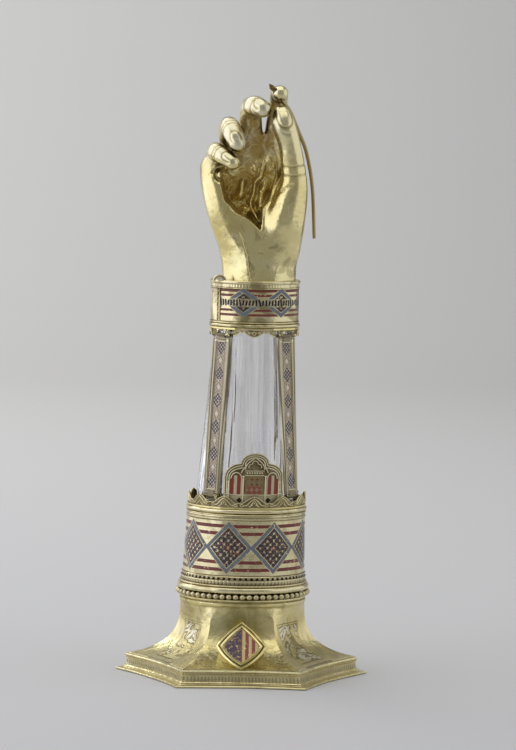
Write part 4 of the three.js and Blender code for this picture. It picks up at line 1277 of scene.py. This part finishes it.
# Painted shade: the sheet is darkened all over, so that it is dark between the wires, as in piercings
mark_hollows(crest, 0.0, 0, 0.85)
parts = []
half = math.pi / CRESTS
for i in range(CRESTS):
    centre = GABLE_TURN + 2 * math.pi * i / CRESTS
    for wide, inset, least_rise, steps, radius, sides in (
            (1, 0.25, 0, 25, 0.34, 2), (0.66, 1.9, 0.9, 17, 0.46, 2), (0.36, 3.4, 0.7, 15, 0.26, 1)):
        leaf = [(centre + half * (2 * s - 1) * wide, max(least_rise, leaf_edge(s) - inset))
                for s in np.linspace(0, 1, steps)]
        parts.append(wire_on(crest_spot, leaf, radius, -0.1 if wide == 1 else 0.0, sides))
    parts.append(small_ball(*crest_spot(centre, leaf_edge(0.5) - 0.7, -0.5), 0.7, 1.3))
    for x, z in ((0, 3.2), (-1.5, 2.0), (1.5, 2.0)):
        parts.append(small_ball(*crest_spot(centre + x / 44, z, -0.1), 0.6))
    for side in (-1, 1):
        scroll = [(centre + side * (half * 0.8 + 0.028 * math.cos(a)), 1.5 + 1.0 * math.sin(a))
                  for a in np.linspace(0, 6.2, 10)]
        parts.append(wire_on(crest_spot, scroll, 0.26, 0.0, 1))
# Rosettes where the straps' hinges meet the drum
for turns in STRAPS.values():
    t = math.radians(turns[0])
    for i in range(6):
        a, reach = 2 * math.pi * i / 5, 0.0 if i == 5 else 1.5
        parts.append(small_ball(*crest_spot(t + reach * math.cos(a) / 44, 3.0 + reach * math.sin(a), 0.5),
                                0.75))
mark_parts(parts, 1.0, 0.0)
crest = join([crest] + parts)
smooth(crest)
dress(crest, "leaf_cresting", TRIM, "drum_cresting")

# %% [markdown]
# The foot spreads from the drum's oval to a hexagon with slightly hollow sides. It was raised from one
# sheet, with a stamped moulding and a thin worn flange. A hexagon that turns into an oval can't be had
# by scaling one ring, so the rings are computed, one for each level, and joined. The UV map counts
# sides, so that each side's engraved panel can be drawn in the material from its place on the side.

# %% Foot finish
def foot_pattern(tree, color, rough, height):
    sides, z = map_place(tree, 6.0, 100.0)
    place = object_place(tree)
    which = whole(sides)
    is_front = line(which, 4.0, 0.4, 0.05)
    is_right = line(which, 5.0, 0.4, 0.05)
    no_front = 1.0 - is_front
    # Tiny arcades on the stamped moulding
    arcade = fract(sides * 34.0) - 0.5
    bow = arcade * arcade * 9.0 + (z - 7.6)
    in_band = line(z, 6.3, 2.6, 0.2)
    arches = ramp(bow, -0.1, 0.3, 1.0, 0.0) * in_band * ramp(z, 4.6, 5.0, 0.35, 1.0)
    stamped = (arches - ramp(abs(arcade), 0.27, 0.34) * in_band) * 0.8
    beads = line(fract(sides * 50.0), 0.5, 0.3, 0.2) * line(z, 10.2, 0.5, 0.3)
    # Engraved panels: a double frame with foliage in a lighter tone
    across = (fract(sides) - 0.5) * ramp(z, 18.0, 52.0, 74.0, 56.0)
    wide = abs(across + is_right * 6.0)
    edge = least(is_right * 3.0 + 15.5 - wide, 15.0 - abs(z - 28.8))
    frame_lines = most(line(edge, 0.0, 0.28, 0.1), line(edge, 1.7, 0.22, 0.1))
    panel = ramp(edge, 1.7, 1.9)
    leafy = noise(place, 56.0, 2.5, 0.55, 1.2)
    stems = most(line(leafy, 0.5, 0.035, 0.012), line(leafy, 0.62, 0.02, 0.01))
    leaf = ramp(leafy, 0.49, 0.53)
    grain = ramp(noise(place, 1500.0, 1.0, 0.5), 0.45, 0.6)
    hatched = (1.0 - leaf) * (grain * panel) * no_front
    # Soft foliage engraved beside the shield
    beside = line(z, 21.0, 8.0, 2.0) * is_front
    cuts = most(most(frame_lines, stems * panel) * no_front, stems * beside * 0.45)
    # Dark tarnish in clouds, and painted shade on the slope round and behind the shield
    moved = add(tree, "ShaderNodeVectorMath", Vector=place)
    moved.inputs[1].default_value = (0, 0.05, -0.047)
    spread = add(tree, "ShaderNodeVectorMath", Vector=Wire(moved.outputs[0]))
    spread.operation = "LENGTH"
    near = ramp(Wire(spread.outputs["Value"]) + leafy * 0.02, 0.014, 0.036, 0.85, 0.0)
    stain = ramp(noise(place, 48.0, 5.0, 0.62, 1.3), 0.5, 0.66)
    tinted = blend(most(stain * 0.38, near), color, shade(118, 108, 58))
    tinted = blend(ramp(z, 13.0, 14.0, 0.45, 0.0), tinted, shade(232, 222, 178))
    # Painted shade, greyer, on the front round the shield's foot
    under = line(z, 18.0, 6.0, 3.0) * is_front
    tinted = blend(under * 0.6, tinted, shade(150, 146, 122))
    figure = leaf * panel * no_front
    tinted = blend(figure * 0.7, tinted, shade(236, 229, 200))
    tinted = blend(hatched * 0.3, tinted, shade(150, 134, 84))
    tinted = blend(most(cuts * 0.7, stamped * 0.5), tinted, GOLD_DEEP)
    rough = rough + (near * 0.25 + figure * 0.12) + 0.05 + hatched * 0.2
    relief = height - cuts * 0.35 - hatched * 0.08 + beads * 0.7 - stamped * 1.2
    return tinted, rough, relief, 1.0


FOOT_FINISH = gilt_finish("gilt silver engraved foot", wear=0.5, dents=1.0, bump=0.0007, silver=0.12,
                          pattern=foot_pattern)

# %% Foot
FOOT_TOP, COLLAR = 64.2, (51.5, 44.0)
SIDE_STEPS = 24


def foot_ring(corner, z, roundness, wall=0.0, wave=0.0):
    ring = []
    reach = corner - wall
    for side in range(6):
        ends = [Vector((math.cos(a), math.sin(a))) * reach for a in (side * math.pi / 3,
                                                                     (side + 1) * math.pi / 3)]
        for step in range(SIDE_STEPS):
            share = step / SIDE_STEPS
            flat = ends[0].lerp(ends[1], share)
            inward = 3.6 * corner / 103 * 4 * share * (1 - share)
            inward += wave * (0.5 + 0.5 * math.sin(9.3 * share + 2.1 * side)) * math.sin(math.pi * share)
            flat -= flat.normalized() * inward
            angle = (side + share) * math.pi / 3
            oval = Vector((reach * math.cos(angle), reach * COLLAR[1] / COLLAR[0] * math.sin(angle)))
            spot = flat.lerp(oval, roundness)
            ring.append((spot.x, spot.y, z))
    return ring + [ring[0]]


levels = [(103, 0.1, 0, 0, 0.8), (103, 1.0, 0, 0, 0.8), (102.6, 1.35, 0, 0, 0.8), (96.4, 1.6, 0, 0, 0.4)]
flange = [(95.8, 2.0), (95.9, 2.9), (95.0, 3.6), (94.0, 4.0), (93.7, 6.5), (93.6, 9.2), (94.2, 9.8),
          (94.3, 10.3)]
flange += [(94.0, 10.8), (94.9, 11.2), (95.0, 12.0), (94.3, 12.8), (92.2, 13.4)]
levels += [(corner, z, 0, 0, 0) for corner, z in flange]
collar = COLLAR[0]
for share in np.linspace(0, 1, 30):
    corner = collar - 0.8 + (92 - collar + 0.8) * (1 - share) ** 3
    z = 13.8 + (FOOT_TOP - 6 - 13.8) * share**1.25
    levels.append((corner, z, share**3, 0, 0.5 * math.sin(math.pi * share)))
neck = [(0.7, 58.4), (0.2, 59.0), (0, 60.0), (0.1, 61.0), (0.5, 61.4), (0.5, 62.2), (0, 62.8), (0, 64.0)]
levels += [(collar - inward, z, 1, 0, 0) for inward, z in neck]
inner = [(corner, z - 1.8 * (1 - roundness), roundness, 2.3, 0) for corner, z, roundness, _,
         _ in levels if z > 12.9]
levels += inner[::-1] + [(93.6, 9.0, 0, 2.3, 0), (94.0, 0.1, 0, 2.3, 0)]
rings = [foot_ring(*level) for level in levels]
rings.append(rings[0])
places = [[(c / (6 * SIDE_STEPS), ring[0][2] / 100) for c in range(6 * SIDE_STEPS + 1)] for ring in rings]
foot = grid_mesh("foot", rings, places)
outward(foot)
mark_hollows(foot, 1.6, 1)
smooth(foot, 32)
dress(foot, "engraved_foot", FOOT_FINISH, "foot")

# %% [markdown]
# The shield on the foot is a small plate in a double moulded frame. It starts as a flat outline, and
# each moulding is an inset of the face with a step up or down, so that the frame follows the outline all
# round. Its enamel is half a dark field with gold flecks and half red and gold pales.

# %% Shield finish
def shield_pattern(tree, color, rough, height):
    u, mark = map_place(tree, 10.0, 1.0)
    place = object_place(tree)
    pales = ramp(fract((u - 0.6) / 5.2), 0.42, 0.5)
    right = blend(pales, shade(206, 184, 124), shade(134, 50, 36))
    flecks = ramp(noise(place, 420.0, 2.0, 0.5, 0.8), 0.52, 0.6)
    left = blend(flecks, shade(54, 38, 66), shade(160, 120, 70))
    glass = clouded(blend(ramp(u, -0.5, -0.3), left, right), place, 300.0, 0.3, shade(96, 74, 60))
    enamelled = chipped(ramp(mark, 4.9, 5.0), place, 460.0, 0.62, 0.7, 0.5)
    relief = height - enamelled * 0.3
    return blend(enamelled, color, glass), weighted(enamelled, rough, 0.26), relief, 1.0 - enamelled * 0.9


SHIELD_FINISH = gilt_finish("gilt silver shield enamel", wear=0.6, dents=0.3, bump=0.0004,
                            pattern=shield_pattern)

# %% Shield
low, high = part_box("foot_shield")
print("shield box", [round(v / MM, 2) for v in (*low, *high)])
SHIELD_TALL = 46.5


def curve_between(start, control, end, steps):
    spots = []
    for t in np.linspace(0, 1, steps)[:-1]:
        shares = ((1 - t) ** 2, 2 * t * (1 - t), t * t)
        spots.append([sum(share * spot[i] for share,
                          spot in zip(shares, (start, control, end))) for i in (0, 1)])
    return spots


outline = curve_between((0, 0.52), (-0.27, 0.28), (-0.442, 0), 9)
outline += curve_between((-0.442, 0), (-0.318, -0.3), (0, -0.48), 12)
outline += curve_between((0, -0.48), (0.318, -0.3), (0.442, 0), 12)
outline += curve_between((0.442, 0), (0.27, 0.28), (0, 0.52), 9)
shield = new_piece("shield", [(x * SHIELD_TALL, y * SHIELD_TALL, 0) for x, y in outline],
                   [tuple(range(len(outline)))])
mesh = shield.data
edit_all(shield)
bpy.ops.mesh.extrude_region_move(TRANSFORM_OT_translate={"value": (0, 0, 17.5 * MM)})
SHARES = (1, 0.965, 0.93, 0.885, 0.855, 0.825, 0.77, 0.725, 0.7)
STEPS_UP = (0.7, 0.3, -0.9, -0.3, 0.7, 0.35, -0.5, -0.9)
for before, share, step_up in zip(SHARES, SHARES[1:], STEPS_UP):
    bpy.ops.mesh.extrude_region_move(TRANSFORM_OT_translate={"value": (0, 0, step_up * MM)})
    bpy.ops.transform.resize(value=(share / before, share / before, 1), center_override=(0, 0, 0))
bpy.ops.mesh.inset(thickness=0.2 * MM, depth=0)
bpy.ops.object.mode_set(mode="OBJECT")
front = [face.index for face in mesh.polygons if face.select]
for vertex in mesh.vertices:
    if vertex.co.z < 0.001:
        vertex.co.x *= 0.8
        vertex.co.y *= 0.8
layer = mesh.uv_layers.new(name="UVMap")
for face in mesh.polygons:
    for loop, index in zip(face.loop_indices, face.vertices):
        spot = mesh.vertices[index].co
        layer.data[loop].uv = (spot.x * 100, 6.0 if face.index in front else 0.0)
mark_hollows(shield, 4.0, 0, 0.05)
# The plate lies back on the slope: its foot on the moulding, its head against the rising side
shield.data.transform(Matrix.Translation((0, 20.1 * MM, -16 * MM)))
shield.data.transform(Matrix.Rotation(math.radians(47.7), 4, "X"))
shield.data.transform(Matrix.Translation((0, -76.07 * MM, 14.5 * MM)))
smooth(shield, 30)
dress(shield, "enamel_shield", SHIELD_FINISH, "foot_shield")
print("shield now", [round(v, 4) for v in shield.bound_box[0]], [round(v, 4) for v in shield.bound_box[6]])

# %% [markdown]
# The hand is one raised form, in which fingers, ball of the thumb and palm run into each other. That is
# hard to model from boxes, so it is described as distances: each finger is a chain of rounded cones
# through its joints, the wrist and palm are a stack of ovals, and all are blended with a soft minimum,
# which gives the webs between the fingers. The palm's hollow is cut with a steep lower edge, and creases
# are pressed in along lines. The surface where the distance is nought is then drawn as a mesh of even
# small cells.

# %% Distances of the hand
CELL = 0.82
RIM = 321.0
grid_low = np.array([-43.0, -31.0, RIM - 38.5])
grid_high = np.array([48.5, 26.0, RIM + 161])
shape = np.ceil((grid_high - grid_low) / CELL).astype(int) + 1
axes = [grid_low[i] + CELL * np.arange(shape[i]) for i in range(3)]
X, Y, Z = np.meshgrid(*axes, indexing="ij")


def soft_min(first, second, k):
    h = np.maximum(k - np.abs(first - second), 0) / k
    return np.minimum(first, second) - h * h * k / 4


def through(joints, steps=7):
    """A smooth line through joints of [x, y, z above the rim, radius]"""
    pts = np.array(joints, float)
    pts = np.vstack([2 * pts[0] - pts[1], pts, 2 * pts[-1] - pts[-2]])
    line_points = []
    for i in range(1, len(pts) - 2):
        a, b, c, d = pts[i - 1:i + 3]
        for t in np.linspace(0, 1, steps, endpoint=False):
            bend = (2 * a - 5 * b + 4 * c - d) * t**2 + (3 * b - a - 3 * c + d) * t**3
            line_points.append(0.5 * (2 * b + (c - a) * t + bend))
    line_points.append(pts[-2])
    return np.array(line_points)


def cells_between(low, high):
    """The part of the grid between two corners"""
    first = np.maximum((low - grid_low) / CELL, 0).astype(int)
    last = np.minimum((high - grid_low) / CELL + 2, shape).astype(int)
    return tuple(slice(a, b) for a, b in zip(first, last))


def limb_distance(joints, margin=9.0):
    pts = through(joints)
    pts[:, 2] += RIM
    cut = cells_between((pts[:, :3] - pts[:, 3:]).min(0) - margin, (pts[:, :3] + pts[:, 3:]).max(0) + margin)
    places = np.stack([X[cut], Y[cut], Z[cut]], -1)
    best = np.full(places.shape[:3], 50.0)
    for a, b in zip(pts[:-1], pts[1:]):
        way = b[:3] - a[:3]
        t = np.clip((places - a[:3]) @ way / (way @ way), 0, 1)
        gap = np.sqrt(((places - a[:3] - t[..., None] * way) ** 2).sum(-1))
        best = np.minimum(best, gap - (a[3] + (b[3] - a[3]) * t))
    return cut, best


def merge_limb(body, joints, k):
    cut, best = limb_distance(joints, k + 3)
    body[cut] = soft_min(body[cut], best, k)
    return body


THUMB = [[24, -3, 27, 16.5], [29, -7, 51, 16], [35, -10, 77, 11.2],
         [31.5, -14.5, 108, 9], [26.5, -16.5, 124, 9.6], [24.5, -15.5, 134, 7.0]]
HEEL = [[-5, -1, 24, 14], [-16.5, -3, 51, 15], [-25.5, -2, 77, 13.3], [-28, 2, 90, 12]]
FOREFINGER = [[15, 13, 84, 11], [19, 15, 109, 9.4], [20.7, 14, 127, 8.6],
              [21.5, 8, 141, 7.4], [22, -2, 149.5, 7.2], [23, -12.5, 150.8, 6.2]]
MIDDLE = [[0, 13, 91, 11], [0, 14, 112, 9.6], [-0.7, 10, 130, 9.0],
          [-0.5, 0, 139, 8.2], [3.5, -10, 140.5, 7.8], [9, -16.5, 138, 6.9]]
RING = [[-13, 12, 87, 9.8], [-17, 12, 107, 8.1], [-18.5, 6, 120, 8.4],
        [-17.5, -5, 123, 8.1], [-14, -14, 117, 7.8], [-11, -18.5, 110, 6.7]]
LITTLE = [[-24, 10, 81, 9.3], [-28, 9, 94, 7.6], [-28.5, 3, 102, 7.4],
          [-27.5, -7, 102.5, 7.2], [-21, -15, 99, 6.8], [-14.5, -19.5, 94.5, 6.0]]
# Middle, height, width and depth of the palm's ovals
PALM = np.array([
    [8.8, 0, -40, 59.2, 46.8], [8.8, 0, 0, 59.2, 46.8], [8.3, 1, 25, 60.6, 43], [6.5, 2.5, 41, 66, 38],
    [2.5, 5, 59, 69, 32], [0, 7.5, 77, 69, 28], [-1, 9.5, 91, 66, 26], [3, 12, 104, 50, 18], [7, 13, 115,
                                                                                              36, 12]])

rise = Z - RIM
cx, cy, wide, deep = [np.interp(axes[2] - RIM, PALM[:, 2], PALM[:, i])[None, None, :] for i in (0, 1, 3, 4)]
flat = np.sqrt(((X - cx) / (wide / 2)) ** 2 + ((Y - cy) / (deep / 2)) ** 2)
body = (flat - 1) * deep / 2
body = np.maximum(body, rise - 116)
body = merge_limb(body, THUMB, 7.0)
body = merge_limb(body, HEEL, 9.0)
print("hand grid", tuple(int(n) for n in shape))

# %% [markdown]
# The hollow's outline is a line on the palm seen from the front. Inside the line the cut deepens
# quickly, so that its lower edge stays sharp, and the sheet at its bottom is uneven. The fingers are
# added after the cut, so they close over it.

# %% Hollow of the palm
xz = np.meshgrid(axes[0], axes[2] - RIM, indexing="ij")


def line_distance(points):
    """How far each place on the palm is from a line, seen from the front"""
    x, z = xz
    best = np.full(x.shape, 1e3)
    for (ax, az), (bx, bz) in zip(points[:-1], points[1:]):
        t = np.clip(((x - ax) * (bx - ax) + (z - az) * (bz - az)) / ((bx - ax) ** 2 + (bz - az) ** 2), 0, 1)
        best = np.minimum(best, np.hypot(x - ax - t * (bx - ax), z - az - t * (bz - az)))
    return best


def outline_distance(points):
    """How far a place lies inside a closed line, negative outside"""
    x, z = xz
    points = points + points[:1]
    inside_line = np.zeros(x.shape, bool)
    for (ax, az), (bx, bz) in zip(points[:-1], points[1:]):
        with np.errstate(divide="ignore", invalid="ignore"):
            inside_line ^= ((az > z) != (bz > z)) & (x < (bx - ax) * (z - az) / (bz - az) + ax)
    return line_distance(points) * np.where(inside_line, 1, -1)


def soft_line(points, width):
    return np.exp(-((line_distance(points) / width) ** 2))


HOLLOW = [(-26.5, 88), (-25.5, 75), (-22.2, 62.8), (-12.5, 53), (-1.0, 46.5), (10.8, 36), (12.4, 50),
          (13.0, 57),
          (17.5, 62.5), (20.5, 72), (24, 82), (25, 95), (22, 108), (15, 119), (7, 121), (-6, 112), (-18, 102)]
FOLDS = [([(9.3, 84), (3.9, 78.7), (3.0, 71.5), (0.6, 63), (1.4, 57), (5.2, 51), (9.4, 43)], 9, 1.7),
         ([(9.3, 87), (12.4, 99), (15.6, 104), (18.6, 100), (18.0, 90)], 8, 1.8),
         ([(12.9, 79), (9.5, 70), (8.6, 57)], 6, 3.4), ([(-6.0, 78), (-7.8, 67)], 7, 2.6),
         ([(-4.4, 57), (-3, 55)], 6, 2.8), ([(4.5, 94), (3.0, 88)], 5,
                                            3.6), ([(-3, 100), (-8, 92), (-16, 86)], 4, 4.0),
         ([(15, 90), (15, 97)], 4, 2.0), ([(22, 78), (19, 67)], 6, 1.6)]
cut_share = np.clip((outline_distance(HOLLOW) + 0.3) / 5.0, 0, 1)
cut_share = cut_share * cut_share * (3 - 2 * cut_share)
cut_to = -30 + 33.5 * cut_share
folded = np.zeros(cut_share.shape)
for points, rise_by, width in FOLDS:
    folded += rise_by * soft_line(points, width)
cut_to -= folded * cut_share
wander = 2.2 * np.sin(0.21 * xz[1] + 0.6) + 1.5 * np.sin(0.33 * xz[0])
cut_to += 1.3 * np.sin(0.45 * xz[0] + wander) * np.sin(0.37 * xz[1] + 0.5 * wander) * cut_share
body = -soft_min(-body, (Y - cut_to[:, None, :]) * 0.75, 0.9)
for joints, k in ((FOREFINGER, 4.0), (MIDDLE, 3.0), (RING, 3.0), (LITTLE, 3.0)):
    body = merge_limb(body, joints, k)

# %% [markdown]
# Creases are pressed along lines drawn from the front, and only where the surface looks to the front.
# Some are also darkened with painted shade: the wrist's fold, the fold at the thumb's root and the ring
# on the little finger's side. The pen's bed is cut a little wider than the pen, so that hand and pen don't touch.

# %% Creases and pen bed
def press(points, depth, width):
    body[:] += (depth * soft_line(points, width))[:, None, :] * (Y < 0)


crease = [(-8.5, 39.2), (-5.1, 32.7), (-0.8, 19.7), (0.6, 8.4), (3.1, -4)]
beyond = xz[0] - np.interp(xz[1], [z for _, z in crease[::-1]], [x for x, _ in crease[::-1]])
fade = np.clip((44 - xz[1]) / 16, 0, 1)
lap = 2.6 * np.exp(-np.maximum(-beyond, 0) / 12) * np.clip(0.5 - beyond / 1.0, 0, 1)
body -= (lap * fade)[:, None, :] * (Y < 0)
press([(26, 73), (30, 75.5), (34, 77)], 0.9, 1.1)
press([(-33, 84), (-27, 88), (-22, 90)], 0.8, 1.2)
press([(25, 120), (29, 118.5), (33, 119.5)], 0.5, 0.9)
turns = np.linspace(0, 2 * math.pi, 19)
boss = [(-23.4 + 4.7 * math.cos(t), 84.5 + 4.6 * math.sin(t)) for t in turns]
press(boss, 2.4, 1.5)
QUILL = [[13.8, -18, 158.2, 0.25], [15.8, -16.2, 155.6, 2.0], [18.5, -13.5, 152.5, 1.7],
         [24.5, -9, 144.5, 1.5],
         [31, -6, 136, 1.6], [38.6, -3.5, 119, 1.6], [45, -3, 103, 1.5], [50.2, -3, 75, 1.45], [52.6, -2,
                                                                                                34, 1.35]]
cut, gap = limb_distance([[x, y, z, radius + 0.35] for x, y, z, radius in QUILL], 4)
body[cut] = np.maximum(body[cut], -gap)
# Painted shade along the wrist's fold, the fold at the thumb's root and the ring on the little finger's side
drawn = 0.9 * soft_line(boss, 1.7) + 0.9 * fade * np.exp(-(((beyond - 0.4) / 0.6) ** 2))
drawn += 0.5 * soft_line([(25, 74), (30, 75.5), (35, 77)], 0.8)
dark = np.ones(body.shape, np.float32) * drawn[:, None, :] * (Y < 0)
print("pressed, deepest", round(float(body.min()), 1))

# %% [markdown]
# Each nail is a small raised oval with a groove round its root and sides, and the groove is darkened
# with painted shade. It is given by its middle, the way it looks, the way the finger runs, and half its
# width and length.

# %% Nails
def cells_near(middle, reach):
    """The cells round a point above the rim, and the way from it to each of them"""
    at = np.array(middle) + (0, 0, RIM)
    cut = cells_between(at - reach, at + reach)
    return cut, np.stack([X[cut] - at[0], Y[cut] - at[1], Z[cut] - at[2]], -1)


NAILS = [
    ((26.4, -24.0, 132.6), (0.12, -1.0, 0.12), (-0.3, 0.0, 1.0), 5.6, 8.6),
    ((6.6, -19.5, 142.6), (-0.1, -0.7, 0.7), (0.62, -0.5, -0.4), 4.3, 4.4),
    ((-12.8, -23.5, 115.0), (-0.25, -0.95, 0.25), (0.4, -0.3, -0.9), 3.8, 4.8),
    ((-18.2, -23.0, 99.2), (-0.15, -0.85, 0.5), (0.85, -0.4, -0.4), 3.7, 5.0),
]
for middle, facing, along, half_wide, half_long in NAILS:
    facing = np.array(facing) / np.linalg.norm(facing)
    along = np.array(along) - facing * (np.array(along) @ facing)
    along /= np.linalg.norm(along)
    sideways = np.cross(along, facing)
    cut, away = cells_near(middle, 13)
    u, v, w = away @ sideways, away @ along, away @ facing
    oval = np.sqrt((np.abs(u) / half_wide) ** 2.4 + (np.abs(v) / half_long) ** 2.4)
    plate = np.clip((1.0 - oval) * half_wide / 0.9 + 0.5, 0, 1) * 0.4
    groove = np.exp(-(((oval - 1.14) * half_wide / 0.62) ** 2)) * np.clip(1.4 - v / half_long * 1.2, 0, 1)
    near = np.clip((w + 6) / 2, 0, 1)
    body[cut] -= (plate - 0.6 * groove) * near
    dark[cut] += groove * near * 0.9
# Wrinkles are pressed across the joints as small grooves, each darkened with painted shade
WRINKLES = [
    ((-16.4, -8, 121), (3.5, -9, -6), 9.5), ((-15.3, -10.6, 119.3), (3.5, -9, -6), 9.5),
    ((-18.3, 0, 121.8), (1, -11, 2), 9.5), ((0.6, -2.8, 139.4), (4, -10, 1.5), 9.5),
    ((1.5, -5, 139.7), (4, -10, 1.5), 9.5), ((4.6, -11.6, 140.2), (5.5, -6.5, -2.5), 9.0),
    ((-25.6, -9.4, 101.4), (6.5, -8, -3.5), 8.5), ((-23.8, -11.6, 100.4), (6.5, -8, -3.5), 8.5),
    ((33.4, -12, 94), (-3, -4, 30), 12.0), ((34.2, -11, 87), (-2, -4, 30), 13.0), ((22.1, -4, 149.7),
                                                                                   (1, -10, 1), 8.5)]
for middle, along, reach in WRINKLES:
    along = np.array(along) / np.linalg.norm(along)
    cut, away = cells_near(middle, reach + 2)
    bowed = away @ along + 0.02 * (away**2).sum(-1) - 1.2
    mark = np.exp(-((bowed / 0.62) ** 2)) * np.clip(reach - np.sqrt((away**2).sum(-1)), 0,
                                                    1) * (away[..., 1] < 5)
    body[cut] += 0.55 * mark
    dark[cut] += 0.75 * mark
print("nails:", len(NAILS), "wrinkles:", len(WRINKLES))

# %% [markdown]
# The surface is drawn through the cells that it crosses: one point in each, at the middle of the
# crossings of the cell's edges, and one small face across each edge of the grid that passes through the
# surface.

# %% Surface through the cells
body = np.maximum(body, RIM - 37.2 - Z)
for axis in range(3):
    sides = np.moveaxis(body, axis, 0)
    sides[[0, -1]] = np.maximum(sides[[0, -1]], 0.5)
filled = body < 0
corners = [(i, j, k) for i in (0, 1) for j in (0, 1) for k in (0, 1)]


def window(array, i, j, k):
    return array[i:array.shape[0] - 1 + i, j:array.shape[1] - 1 + j, k:array.shape[2] - 1 + k]


total = sum(window(filled, *corner).astype(np.int8) for corner in corners)
mixed = (total > 0) & (total < 8)
number = np.full(mixed.shape, -1)
number[mixed] = np.arange(mixed.sum())
spots = np.zeros((int(mixed.sum()), 3))
crossings = np.zeros(len(spots))
for start in corners:
    for axis in range(3):
        if start[axis]:
            continue
        end = tuple(1 if i == axis else start[i] for i in range(3))
        first, second = window(body, *start)[mixed], window(body, *end)[mixed]
        crossed = (first < 0) != (second < 0)
        share = first / np.where(crossed, first - second, 1)
        for i in range(3):
            spots[:, i] += np.where(crossed, start[i] + (share if i == axis else 0), 0)
        crossings += crossed
spots = (np.argwhere(mixed) + spots / crossings[:, None]) * CELL + grid_low
faces = []
for axis in range(3):
    one, two = (axis + 1) % 3, (axis + 2) % 3
    ahead = np.roll(filled, -1, axis)
    flips = np.argwhere(filled != ahead)
    flips = flips[(flips[:, axis] < filled.shape[axis] - 1) & (flips[:, one] > 0) & (flips[:, two] > 0)]
    steps = np.eye(3, dtype=int)
    ring = [flips, flips - steps[one], flips - steps[one] - steps[two], flips - steps[two]]
    quad = np.stack([number[tuple(np.minimum(cell, np.array(number.shape) - 1).T)] for cell in ring], 1)
    turned = filled[tuple(flips.T)]
    quad[~turned] = quad[~turned][:, ::-1]
    faces.append(quad)
faces = np.vstack(faces)
faces = faces[(faces >= 0).all(1)]
print("hand net:", len(spots), "points", len(faces), "faces")

# %% Hand
for _ in range(2):
    pairs = np.vstack([faces[:, [i, (i + 1) % 4]] for i in range(4)])
    start, end = np.vstack([pairs, pairs[:, ::-1]]).T
    mean = np.stack([np.bincount(start, spots[end, i], len(spots)) for i in range(3)], 1)
    spots = 0.45 * spots + 0.55 * mean / np.bincount(start, minlength=len(spots))[:, None]
hand = new_piece("hand", spots, faces.tolist())
outward(hand)
points, normals = read_points(hand.data, "co") / MM, read_points(hand.data, "normal")


def sample(grid, places):
    cells = np.clip((places - grid_low) / CELL, 0, shape - 1.001)
    base = cells.astype(int)
    part = cells - base
    value = np.zeros(len(places))
    for i, j, k in corners:
        weight = np.prod(np.where((i, j, k), part, 1 - part), axis=1)
        value += weight * grid[base[:, 0] + i, base[:, 1] + j, base[:, 2] + k]
    return value


# Painted shade from how closed in each point is: the distance is sampled a little way out along the normal, and
# closed-in points get darker. The crease marks are added to it
closed = np.zeros(len(points))
for way, weight in ((1.5, 0.3), (4.0, 0.35), (9.0, 0.35)):
    closed += weight * np.clip(1 - sample(body, points + normals * way) / way, 0, 1)
# The palm's hollow, and the fingers' undersides between them, are brown with painted shade in them; this goes into the
# inside attribute
brown = cut_share * np.clip(0.86 - folded / 9, 0.12, 1)
between = outline_distance([(-13, 134), (-13, 116), (-8, 108), (9, 112), (20, 108), (20, 120), (13, 124),
                            (11, 136)])
brown = np.maximum(brown, np.clip((between + 1) / 3, 0, 1) * 0.72)
inner = np.broadcast_to(brown[:, None, :], body.shape)
inner = sample(inner, points) * (points[:, 1] > -17) * (normals[:, 1] < 0.35) * (points[:, 1] < 9)
closed = np.clip(closed * 1.6 - 0.14, 0, 1) * (1 - 0.85 * inner) + sample(dark, points)
write_points(hand.data, "hollow", closed)
write_points(hand.data, "inside", inner)
for face in hand.data.polygons:
    face.use_smooth = True
dress(hand, "raised_hand", HAND_GILT, "hand")

# %% [markdown]
# The quill is a thin bent pen that narrows to its nib. It follows a smooth line through a few points,
# with a round section that swells towards the middle.

# %% Quill
quill = bent_wire("quill", through(QUILL, 12) + (0, 0, RIM, 0), 1.0, sides=4)
mark_hollows(quill, 1.0, 0, 0.1)
for vertex, item in zip(quill.data.vertices, quill.data.attributes["hollow"].data):
    if vertex.co.z > (RIM + 153) * MM:
        item.value = 1.0
smooth(quill, 50)
dress(quill, "pen_shaft", DARK_GILT, "quill")

# %% [markdown]
# The solids that stay as they are get finishes too: the plates inside are gilt, and the hinges and their
# pins are darker.

# %% Finishes of the solids that stay
for name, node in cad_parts.items():
    node.data.materials.clear()
    node.data.materials.append(BLACKENED if name.startswith("pin") else KNUCKLES if name.startswith("hinge") else GILT)
